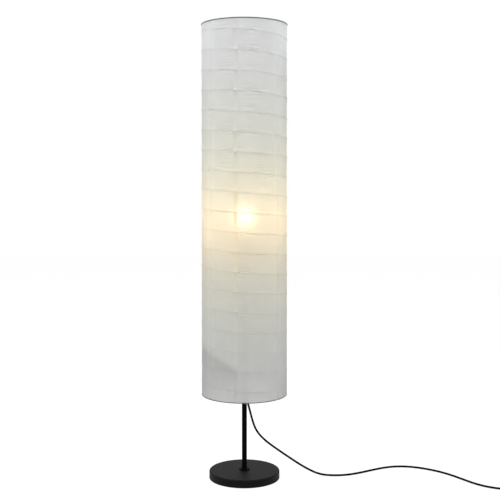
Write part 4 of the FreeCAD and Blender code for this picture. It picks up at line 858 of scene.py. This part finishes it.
@dataclass
class Cords:
    """The cord from the pole to the switch, and from the switch by way of its coil to the plug."""

    line: FloorLine
    radius: float = 0.0027
    lead_length: float = 0.864
    supply_length: float = 1.162
    short_run: float = 0.008
    coil_lead_in: float = 0.030
    coil_radius: float = 0.040
    coil_pitch: float = 0.0059
    coil_turns: float = 5.5
    climb: float = 0.5
    points_a_turn: int = 14
    plug_run: float = 0.030
    plug_axis: float = 0.00685
    curve_steps: int = 10
    bevel_steps: int = 6
    # Down out of the pole, over the floor in a loose S and into the switch; millimetres.
    lead_route: tuple[Point, ...] = (
        (8.6, 0, 199.3),
        (13.913, 0, 179.19),
        (20.6, 0.4, 152.5),
        (30.5, 0.7, 124.5),
        (52, 1.4, 99.5),
        (84, 2.4, 75.5),
        (122, 3.5, 49),
        (160, 4.7, 23.7),
        (198, 5.8, 5.3),
        (236, 5.2, 2.7),
        (272, 10, 2.7),
        (308, 28, 2.7),
        (345, 52.5, 2.7),
        (380, 73, 2.7),
        (414, 83, 2.7),
        (449, 80, 2.7),
        (483, 65, 2.7),
        (519, 38, 2.7),
        (547, 5, 2.7),
        (571, -34, 2.7),
        (594, -69, 2.7),
        (623, -94, 2.7),
        (654.95, -111.35, 4.2),
        (678.02, -117.96, 4.2),
    )

    def coil_point(self, t: float) -> Vector:
        """Follow the coil: inwards on the floor, a step up, and outwards on top.

        Args:
            t: How many turns it has made.

        Returns:
            The point that it has come to.
        """
        half_way = self.coil_turns / 2
        spiral = self.coil_radius - self.coil_pitch * (half_way - abs(half_way - t))
        share = min(max((t - half_way + self.climb / 2) / self.climb, 0), 1)
        height = self.radius + self.coil_pitch * share * share * (3 - 2 * share)
        angle = math.radians(self.line.bearing) - math.pi / 2 + 2 * math.pi * t
        ahead = self.line.case_length / 2 + self.line.relief_length + self.coil_lead_in
        middle = self.line.along(ahead, self.coil_radius)
        return middle + Vector((spiral * math.cos(angle), spiral * math.sin(angle), height))

    def heading(self, t: float, step: float = 0.02) -> Vector:
        """The coil's direction after t turns."""
        return (self.coil_point(t + step) - self.coil_point(t - step)).normalized()

    def plug_place(self) -> tuple[Vector, Vector]:
        """Find the plug.

        Returns:
            Where the cord meets the plug's strain relief, and its direction there.
        """
        leaving = self.heading(self.coil_turns)
        mouth = self.coil_point(self.coil_turns) + leaving * self.plug_run
        return Vector((mouth.x, mouth.y, self.plug_axis)), leaving

    def supply_route(self) -> list[Vector]:
        """Lead the cord from the switch, round the coil and into the plug.

        Returns:
            The points that it passes.
        """
        straight = 2 * self.radius
        start = self.line.mouth(1)
        arriving, leaving = self.heading(0), self.heading(self.coil_turns)
        first = self.coil_point(0) - arriving * straight
        last = self.coil_point(self.coil_turns) + leaving * straight
        ahead = (self.line.mouth(1) - self.line.mouth(-1)).normalized()
        steps = round(self.coil_turns * self.points_a_turn)
        turns = [self.coil_point(self.coil_turns * i / steps) for i in range(steps + 1)]
        mouth, _ = self.plug_place()
        return [
            start,
            start + ahead * self.short_run,
            first - arriving * self.short_run,
            first,
            *turns,
            last,
            last + leaving * self.short_run,
            mouth - leaving * self.short_run,
            mouth,
        ]

    def cord_curve(self, name: str, route: Iterable[Sequence[float]]) -> Piece:
        """Lay one smooth round cord.

        Args:
            name: The piece's name.
            route: The points that it passes.

        Returns:
            The piece, a curve, not yet on a body.
        """
        points = [tuple(p) for p in route]
        data = bpy.data.curves.new(name, "CURVE")
        data.dimensions = "3D"
        spline = data.splines.new("NURBS")
        spline.points.add(len(points) - 1)
        for point, place in zip(spline.points, points, strict=True):
            point.co = (*place, 1.0)
        spline.order_u = 3
        spline.use_endpoint_u = True
        spline.resolution_u = self.curve_steps
        data.bevel_depth = self.radius
        data.bevel_resolution = self.bevel_steps
        data.use_fill_caps = True
        data.materials.append(CORD_JACKET.build())
        return link_object(name, data)

    def build(self) -> None:
        route = [Vector(p) * MM for p in self.lead_route]
        lead = settle(self.cord_curve("lead_cord", route), Body.STAND, "black_cord_jacket", "cord_lead")
        supply = settle(
            self.cord_curve("supply_cord", self.supply_route()),
            Body.STAND,
            "black_cord_jacket",
            "cord_tail",
            "cord_coil",
            "cord_plug_run",
        )
        tuple(self.line.mouth(1))


@dataclass
class StrainRelief:
    """A moulded sleeve that tapers along the cord and is ringed with soft grooves."""

    name: str
    node: str
    root: Vector
    heading: Vector
    length: float
    root_radius: float
    tip_radius: float
    rings: int = 6
    groove: float = 0.00045
    rows_a_ring: int = 8

    def build(self) -> Piece:
        """Turn the sleeve and let it stand for its CAD node.

        Returns:
            The sleeve.
        """
        rows = self.rings * self.rows_a_ring
        profile = [(0.0, 0.0)]
        for row in range(rows + 1):
            share = row / rows
            wave = 0.5 - 0.5 * math.cos(2 * math.pi * share * self.rings)
            taper = self.root_radius + (self.tip_radius - self.root_radius) * share
            profile.append((share * self.length, taper - self.groove * wave))
        profile.append((self.length, 0.0))
        piece = link_object(self.name, turned_mesh(self.name, profile, self.root, self.heading))
        return settle(coat(piece, SOFT_PVC), Body.STAND, "black_soft_plastic", self.node)


@dataclass
class FootSwitch:
    """The switch on the cord: case, sprung button, contact block, screws and two strain reliefs."""

    line: FloorLine
    wires: Tree
    spring_radius: float = 0.0065
    spring_wire: float = 0.0005
    spring_turns: float = 4.0
    points_a_turn: int = 28
    relief_root: float = 0.0040
    relief_tip: float = 0.0032
    press: float = 0.0035
    rim_radius: float = 0.0132
    rim_width: float = 0.0020
    rim_height: float = 0.0008
    rim_sink: float = 0.05 * MM
    rim_steps: int = 10
    rim_columns: int = 72

    def build(self) -> None:
        """Dress the case and make its rim, the reliefs and the spring."""
        dress(SWITCH_PLASTIC, "switch_base", "switch_cover")
        dress(BUTTON_PLASTIC, "switch_button")
        dress(CONTACT_BLOCK, "switch_module")
        dress(ZINC_PLATE, "switch_screws")
        self.bezel()
        ahead = (self.line.mouth(1) - self.line.mouth(-1)).normalized()
        sizes = (self.line.relief_length, self.relief_root, self.relief_tip)
        for name, side in (("switch_relief_in", -1), ("switch_relief_out", 1)):
            heading = ahead * side
            root = self.line.mouth(side) - heading * self.line.relief_length
            StrainRelief(f"{name}_sleeve", name, root, heading, *sizes).build()
        self.spring()

    def bezel(self) -> None:
        """A low rounded rim moulded round the button's hole."""
        _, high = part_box("switch_cover")
        half = self.rim_width / 2
        steps = [math.pi * i / self.rim_steps for i in range(self.rim_steps + 1)]
        rim = [(self.rim_height * math.sin(a), self.rim_radius - half * math.cos(a)) for a in steps]
        start = self.line.along(0, 0, high.z - self.rim_sink)
        mesh = turned_mesh("switch_bezel", [*rim, rim[0]], start, Vector((0, 0, 1)), self.rim_columns)
        piece = coat(link_object("switch_bezel", mesh), SWITCH_PLASTIC)
        settle(piece, Body.STAND, "black_switch_plastic")

    def spring(self) -> None:
        """The button's spring."""
        low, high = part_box("switch_spring")
        bottom, top = low.z + self.spring_wire, high.z - self.spring_wire
        t = np.linspace(0, self.spring_turns, round(self.spring_turns * self.points_a_turn) + 1)
        height = bottom + (top - bottom) * t / self.spring_turns
        points = round_points(2 * np.pi * t, self.spring_radius, height) + np.array(self.line.centre)
        piece = wire_piece("button_spring", points, self.spring_wire, SPRING_STEEL, self.wires)
        settle(piece, Body.STAND, "spring_steel", "switch_spring")
        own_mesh(piece)


@dataclass
class Plug:
    """The flat two-pin plug that lies beside the coil."""

    cords: Cords
    wires: Tree
    relief_length: float = 0.020
    relief_tip: float = 0.0032
    relief_root: float = 0.0046
    grips: int = 5
    grip_start: float = 0.0235
    grip_gap: float = 0.0026
    grip_radius: float = 0.0006
    grip_above: float = 0.3
    grip_half_width: float = 0.0048
    grip_widening: float = 0.4 * MM
    grip_sides: int = 12

    def grip_bars(self, mouth: Vector, heading: Vector) -> None:
        """Mould low bars across the top of the plug, where fingers pull it.

        Args:
            mouth: Where the cord meets the plug's strain relief.
            heading: The direction of the cord there.
        """
        _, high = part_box("plug_body")
        aside = Vector((-heading.y, heading.x, 0))
        level = Vector((mouth.x, mouth.y, high.z - self.grip_radius * self.grip_above))
        ends = []
        for i in range(self.grips):
            middle = level + heading * (self.grip_start + self.grip_gap * i)
            half = aside * (self.grip_half_width + self.grip_widening * i)
            ends += [tuple(middle - half), tuple(middle + half)]
        bars = bpy.data.meshes.new("plug_grips_lines")
        bars.from_pydata(ends, [(2 * i, 2 * i + 1) for i in range(self.grips)], [])
        inputs = {"Radius": self.grip_radius, "Sides": self.grip_sides, "Finish": PLUG_RUBBER.build()}
        settle(grown("plug_grips", bars, self.wires, **inputs), Body.STAND, "black_plug_plastic")

    def build(self) -> None:
        """Dress the plug and make its grip and its strain relief."""
        dress(PLUG_RUBBER, "plug_body")
        dress(NICKELLED_BRASS, "plug_pins")
        mouth, heading = self.cords.plug_place()
        self.grip_bars(mouth, heading)
        root = mouth + heading * self.relief_length
        sizes = (self.relief_length, self.relief_root, self.relief_tip)
        StrainRelief("plug_relief_sleeve", "plug_relief", root, -heading, *sizes).build()


# ---------------------------------------------------------------- shade


@dataclass
class PaperShade:
    """Rice paper over one wire that winds down the shade, with a seam and a wire ring at each end."""

    wires: Tree
    beads: Tree
    paper_top: float = 1.1687
    paper_bottom: float = 0.2247
    top_radius: float = 0.1090
    bottom_radius: float = 0.1110
    first_height: float = 1.1680
    pitch: float = 0.0495
    begin: float = 0.24091
    turns: float = 19.04
    wire_radius: float = 0.0007
    wire_depth: float = 0.0016
    wire_points: int = 96
    pull_in: float = 0.0009
    pull_length: float = 0.006
    ripple: float = 0.00012
    # Two waves that are multiplied: how many go round the shade, radians a metre upwards, and the shift.
    ripple_waves: tuple[Point, Point] = ((9, 31, 0), (5, -47, 1.3))
    columns: int = 132
    seam_angle: float = 258.6
    seam_width: float = 0.010
    seam_lift: float = 0.00015
    seam_columns: int = 7
    # Near the bottom the glue has let go of the wire.
    slack_top: float = 0.30
    slack_fade: float = 0.42
    slackest: float = 0.35
    # How plainly the wire's painted shadow, painted highlight and creases show round and down the shade.
    plain_least: float = 0.16
    plain_middle: float = 0.52
    plain_swing: float = 0.48
    clearest_angle: float = 318.0
    # Where the wire's painted shadow is deepest: the bulb's height, how far that reaches and how much
    # deeper.
    bulb_height: float = 0.690
    bulb_reach: float = 0.26
    bulb_gain: float = 1.8
    # Where the wire's painted shadow and the painted light above it lie, measured up from the wire, and how
    # wide they are.
    shadow_at: float = -0.0007
    shadow_width: float = 0.0011
    light_at: float = 0.0048
    light_width: float = 0.0026
    crease_width: float = 0.013
    # Painted soft shadow low on the front left: its upper edge's height and slope, its fades and its sides.
    painted_shadow_top: float = 0.352
    painted_shadow_slope: float = 0.50
    painted_shadow_edge: float = 0.008
    painted_shadow_depth: float = 0.055
    painted_shadow_right: float = -0.022
    painted_shadow_right_edge: float = 0.012
    painted_shadow_back: float = -0.010
    painted_shadow_back_edge: float = 0.015
    fold_anchor: float = 1.172
    fold_travel: float = 0.337
    # Rows of the paper above and below each turn of the wire, close together near it.
    row_steps: tuple[float, ...] = (0.0006, 0.0012, 0.002, 0.003, 0.0045, 0.007, 0.011, 0.017)
    # Three weld beads each: the circle that they lie on, its height and the beads' radius.
    weld_circles: tuple[tuple[str, Body, Point], ...] = (
        ("top_ring_welds", Body.STAND, (0.1078, 1.1702, 0.0019)),
        ("hub_welds", Body.STAND, (0.0112, 1.1598, 0.0017)),
        ("bottom_ring_welds", Body.SHADE_BOTTOM, (0.1094, 0.2232, 0.0016)),
        ("loop_welds", Body.SHADE_BOTTOM, (0.0112, 0.2232, 0.0016)),
    )

    def outside(self, height: np.ndarray) -> np.ndarray:
        """The outside radius at a height, which grows a little downwards."""
        share = (self.paper_top - height) / (self.paper_top - self.paper_bottom)
        return self.top_radius + (self.bottom_radius - self.top_radius) * share

    def above_wire(self, angle: np.ndarray, height: np.ndarray) -> np.ndarray:
        """Measure how far points of the paper are above the nearest turn of the wire.

        Args:
            angle: The points' angles round the shade.
            height: Their heights.

        Returns:
            The distances, negative below the wire.
        """
        part = np.mod(angle / (2 * np.pi) - self.begin, 1.0)
        turn = (self.first_height - height) / self.pitch - part
        nearest = np.clip(np.round(turn), 0, np.floor(self.turns - part))
        return (nearest - turn) * self.pitch

    def tightness(self, height: np.ndarray) -> np.ndarray:
        """How firmly the paper still holds to the wire: 0 near the bottom, 1 from the middle up."""
        return np.clip((height - self.slack_top) / self.slack_fade, 0, 1)

    def radius_at(self, angle: np.ndarray, height: np.ndarray) -> np.ndarray:
        """Let the paper stand out over the wire and the rings, and draw it in between them.

        Args:
            angle: The points' angles round the shade.
            height: Their heights.

        Returns:
            The points' distances from the axis.
        """
        slack = np.ones_like(height)
        for gap in (self.above_wire(angle, height), self.paper_top - height, height - self.paper_bottom):
            slack = slack * (1 - np.exp(-np.abs(gap) / self.pull_length))
        ripple = self.ripple * np.ones_like(height)
        for around, upward, shift in self.ripple_waves:
            ripple = ripple * np.sin(around * angle + upward * height + shift)
        pull = self.pull_in * (self.slackest + (1 - self.slackest) * self.tightness(height))
        return self.outside(height) - pull * slack + ripple * slack

    def rows(self) -> np.ndarray:
        """Space the rows of the paper.

        Returns:
            For each row, the turns of the wire from its beginning down to it.
        """
        near = [0.0, *self.row_steps]
        steps = sorted({*near, *(-s for s in near), self.pitch / 2})
        turns = np.arange(-1, math.ceil(self.turns) + 1)
        return np.unique(np.concatenate([turns + s / self.pitch for s in steps]).round(9))

    def sheet_mesh(self, name: str, angles: np.ndarray, lift: float, shift: np.ndarray) -> Mesh:
        """Make a sheet whose rows follow the wire.

        Args:
            name: The mesh's name.
            angles: The columns' angles.
            lift: How far the sheet lies outside the paper.
            shift: For each column, how far round from the wire's beginning it is, in turns.

        Returns:
            The mesh, cut off level at the top and at the bottom.
        """
        rows = self.rows()
        height = self.first_height - self.pitch * (rows[:, None] + shift[None, :])
        height = np.clip(height, self.paper_bottom, self.paper_top)
        angle = np.broadcast_to(angles[None, :], height.shape)
        points = round_points(angle, self.radius_at(angle, height) + lift, height).reshape(-1, 3)
        mesh = smooth_mesh(name, points, grid_faces(len(rows), len(angles)))
        self.mark(mesh)
        return mesh

    def plain(self, angle: np.ndarray, height: np.ndarray) -> np.ndarray:
        """Say how plainly the wire's painted shadow, painted highlight and creases show: least left of the
        seam and near the bottom.

        Args:
            angle: The points' angles round the shade.
            height: Their heights.

        Returns:
            0 where it doesn't show and 1 where it is clearest.
        """
        turned = np.cos(angle - math.radians(self.clearest_angle))
        held = self.plain_least + (1 - self.plain_least) * self.tightness(height)
        return (self.plain_middle + self.plain_swing * turned) * held

    def painted_shadow(self, x: np.ndarray, y: np.ndarray, height: np.ndarray) -> np.ndarray:
        """Paint a soft shadow low on the front left, with an upper edge that slants down to the right.

        Args:
            x: How far the points are to the right.
            y: How far they are to the back.
            height: Their heights.

        Returns:
            1 where the painted shadow is darkest and 0 outside it.
        """
        below = self.painted_shadow_top - self.painted_shadow_slope * (x + self.bottom_radius) - height
        edge = 0.5 + 0.5 * np.tanh(below / self.painted_shadow_edge)
        fade = np.exp(-np.clip(below, 0, None) / self.painted_shadow_depth)
        side = 0.5 - 0.5 * np.tanh((x - self.painted_shadow_right) / self.painted_shadow_right_edge)
        front = 0.5 - 0.5 * np.tanh((y - self.painted_shadow_back) / self.painted_shadow_back_edge)
        return edge * fade * side * front

    def mark(self, mesh: Mesh) -> None:
        """Store on the sheet where the wire and the painted soft shadow are, and how it lies when unrolled.

        Args:
            mesh: The sheet.
        """
        corner = np.empty(len(mesh.vertices) * 3)
        mesh.vertices.foreach_get("co", corner)
        x, y, z = corner.reshape(-1, 3).T
        angle = np.mod(np.arctan2(y, x), 2 * np.pi)
        above = self.above_wire(angle, z)
        plain = self.plain(angle, z)
        # The wire's painted shadow is deepest near the bulb.
        lit = 1 + self.bulb_gain * np.exp(-(((z - self.bulb_height) / self.bulb_reach) ** 2))
        for label, value in (
            ("wire_shadow", plain * lit * np.exp(-(((above - self.shadow_at) / self.shadow_width) ** 2))),
            ("wire_light", plain * np.exp(-(((above - self.light_at) / self.light_width) ** 2))),
            ("near_wire", plain * np.exp(-np.abs(above) / self.crease_width)),
            ("painted_shadow", self.painted_shadow(x, y, z)),
        ):
            marks = mesh.attributes.new(label, "FLOAT", "POINT").data
            marks.foreach_set("value", value.astype(np.float32))
        self.unroll(mesh, angle, z)

    def unroll(self, mesh: Mesh, angle: np.ndarray, height: np.ndarray) -> None:
        """Lay the sheet flat from the seam on, in metres, as its UV map.

        Args:
            mesh: The sheet.
            angle: The angle of each of its corners round the shade.
            height: The height of each corner.
        """
        corners = np.empty(len(mesh.loops), np.int64)
        mesh.loops.foreach_get("vertex_index", corners)
        first, count = (np.empty(len(mesh.polygons), np.int64) for _ in range(2))
        mesh.polygons.foreach_get("loop_start", first)
        mesh.polygons.foreach_get("loop_total", count)
        turned = np.mod(angle - math.radians(self.seam_angle), 2 * np.pi)[corners]
        farthest = np.repeat(np.maximum.reduceat(turned, first), count)
        turned = np.where(farthest - turned > np.pi, turned + 2 * np.pi, turned)
        flat = np.stack([turned * self.bottom_radius, height[corners]], axis=1)
        mesh.uv_layers.new(name="unrolled").data.foreach_set("uv", flat.ravel().astype(np.float32))

    def fold(self, piece: Piece) -> None:
        """Give a piece its own copy of its mesh."""
        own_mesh(piece)

    def build(self) -> None:
        """Make the paper, its seam and its wire, and dress the two frames."""
        self.paper()
        self.seam()
        self.spiral()
        dress(GREY_LACQUER, "top_frame", "bottom_frame")
        self.welds()

    def paper(self) -> None:
        """The sheet itself, once round from the wire's beginning."""
        shift = np.linspace(0, 1, self.columns + 1)
        mesh = self.sheet_mesh("paper", 2 * np.pi * (self.begin + shift), 0.0, shift)
        paper = coat(link_object("paper", mesh), PAPER)
        self.fold(settle(paper, Body.STAND, "rice_paper", "paper_shade"))

    def seam(self) -> None:
        """The overlap where the sheet is glued to itself, a narrow strip over the full height."""
        half = self.seam_width / 2 / self.bottom_radius
        angles = math.radians(self.seam_angle) + np.linspace(-half, half, self.seam_columns)
        shift = np.mod(angles / (2 * np.pi) - self.begin, 1.0)
        mesh = self.sheet_mesh("seam", angles, self.seam_lift, shift)
        seam = coat(link_object("seam", mesh), SEAM_PAPER)
        self.fold(settle(seam, Body.STAND, "rice_paper_seam", "seam_strip"))

    def spiral(self) -> None:
        """The wire that carries the paper, from the top ring to the bottom one."""
        t = np.linspace(0, self.turns, round(self.turns * self.wire_points) + 1)
        height = self.first_height - self.pitch * t
        points = round_points(2 * np.pi * (self.begin + t), self.outside(height) - self.wire_depth, height)
        wire = wire_piece("rib_spiral", points, self.wire_radius, DRAWN_WIRE, self.wires)
        self.fold(settle(wire, Body.STAND, "rib_wire_steel", "rib_wire"))

    def welds(self) -> None:
        """A bead where each arm meets its ring, hub or loop."""
        for name, body, (circle, height, bead) in self.weld_circles:
            inputs = {"Count": 3, "Circle": circle, "Centre": (0.0, 0.0, height), "Bead": bead}
            inputs |= {"Turn": (0.0, 0.0, math.pi / 2), "Finish": GREY_LACQUER.build()}
            piece = grown(name, bpy.data.meshes.new(f"{name}_seed"), self.beads, **inputs)
            settle(piece, body, "grey_lacquered_wire")


# ---------------------------------------------------------------- stand, holder and bulb


@dataclass
class Stand:
    """Weighted base, pole and the gland where the cord leaves."""

    cords: Cords
    gland_length: float = 0.022
    gland_root: float = 0.0040
    gland_tip: float = 0.0033
    flex_gap: float = 0.0002
    flex_rise: float = 0.030
    flex_top: float = 0.5762

    def build(self) -> None:
        """Dress base and pole, and make the gland and the cord inside the pole."""
        dress(POWDER_COAT, "base_cover")
        dress(SHADED_POLE_COAT, "pole_collar", "lower_pole", "upper_pole")
        dress(FOAM, "base_pad")
        dress(CAST_IRON, "base_weight")
        dress(ZINC_PLATE, "base_washer", "base_lock_washer", "base_bolt", "pole_foot_plug", "pole_joiner")
        mouth, below = (Vector(p) * MM for p in self.cords.lead_route[:2])
        heading = (below - mouth).normalized()
        root = mouth - heading * self.gland_length
        sizes = (self.gland_length, self.gland_root, self.gland_tip)
        StrainRelief("outlet_gland", "cord_gland", root, heading, *sizes).build()
        bend = mouth - heading * (mouth.x / heading.x)
        middle = [Vector((0, 0, z)) for z in (bend.z + self.flex_rise, self.flex_top)]
        route = [mouth - heading * self.flex_gap, root, bend, *middle]
        settle(self.cords.cord_curve("pole_flex", route), Body.STAND, "black_cord_jacket", "inner_cord")


@dataclass
class Holder:
    """Lampholder with its harp, which carries the shade."""

    def build(self) -> None:
        """Dress the holder, the harp and the finial."""
        dress(HOLDER_PLASTIC, "holder_cap", "holder_body", "holder_ring")
        dress(PORCELAIN, "holder_insulator")
        dress(BRASS, "screw_shell", "centre_contact")
        dress(ZINC_PLATE, "holder_nipple", "holder_nut", "terminal_screws")
        dress(LEAD_INSULATION, "terminal_leads")
        dress(NICKEL_PLATE, "harp_saddle", "harp_ferrules", "harp_wire", "harp_stud")
        dress(NICKEL_PLATE, "finial_washer", "finial")


@dataclass
class Bulb:
    """LED bulb: threaded cap, white housing, board and opal globe."""

    thread_pitch: float = 0.003629
    crest: float = 0.01310
    root: float = 0.01225
    sides: int = 72
    rows: int = 96

    def build(self) -> None:
        """Dress the bulb and make its threaded cap."""
        dress(TIN, "bulb_contact")
        dress(WHITE_HOUSING, "bulb_housing")
        dress(SOLDER_MASK, "bulb_led_board")
        dress(OPAL, "bulb_globe")
        self.cap()

    def cap(self) -> None:
        """The cap with its rolled right-hand thread between two plain ends."""
        low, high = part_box("bulb_cap")
        height = np.linspace(low.z, high.z, self.rows)
        angle = np.linspace(0, 2 * np.pi, self.sides + 1)
        wave = 0.5 + 0.5 * np.cos(2 * np.pi * (height[:, None] / self.thread_pitch) - angle[None, :])
        edge = np.minimum(height - low.z, high.z - height) / self.thread_pitch
        radius = self.root + (self.crest - self.root) * wave * np.clip(edge, 0, 1)[:, None]
        wall = round_points(*np.broadcast_arrays(angle[None, :], radius, height[:, None]))
        foot, head = (np.tile([0.0, 0.0, z], (1, self.sides + 1, 1)) for z in (low.z, high.z))
        points = np.concatenate([foot, wall, head]).reshape(-1, 3)
        mesh = smooth_mesh("threaded_cap", points, grid_faces(self.rows + 2, self.sides + 1))
        cap = coat(link_object("threaded_cap", mesh), NICKELLED_BRASS)
        settle(cap, Body.BULB, "nickel_plated_brass", "bulb_cap")


def main() -> None:
    """Load the frame and dress it, camera and cords first."""
    logging.basicConfig(level=logging.INFO, format="%(message)s")
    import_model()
    wires, beads = wire_group(), bead_group()
    line = FloorLine()
    cords = Cords(line)
    Studio().build()
    cords.build()
    PaperShade(wires, beads).build()
    Stand(cords).build()
    Holder().build()
    Bulb().build()
    FootSwitch(line, wires).build()
    Plug(cords, wires).build()


if __name__ == "__main__":
    main()
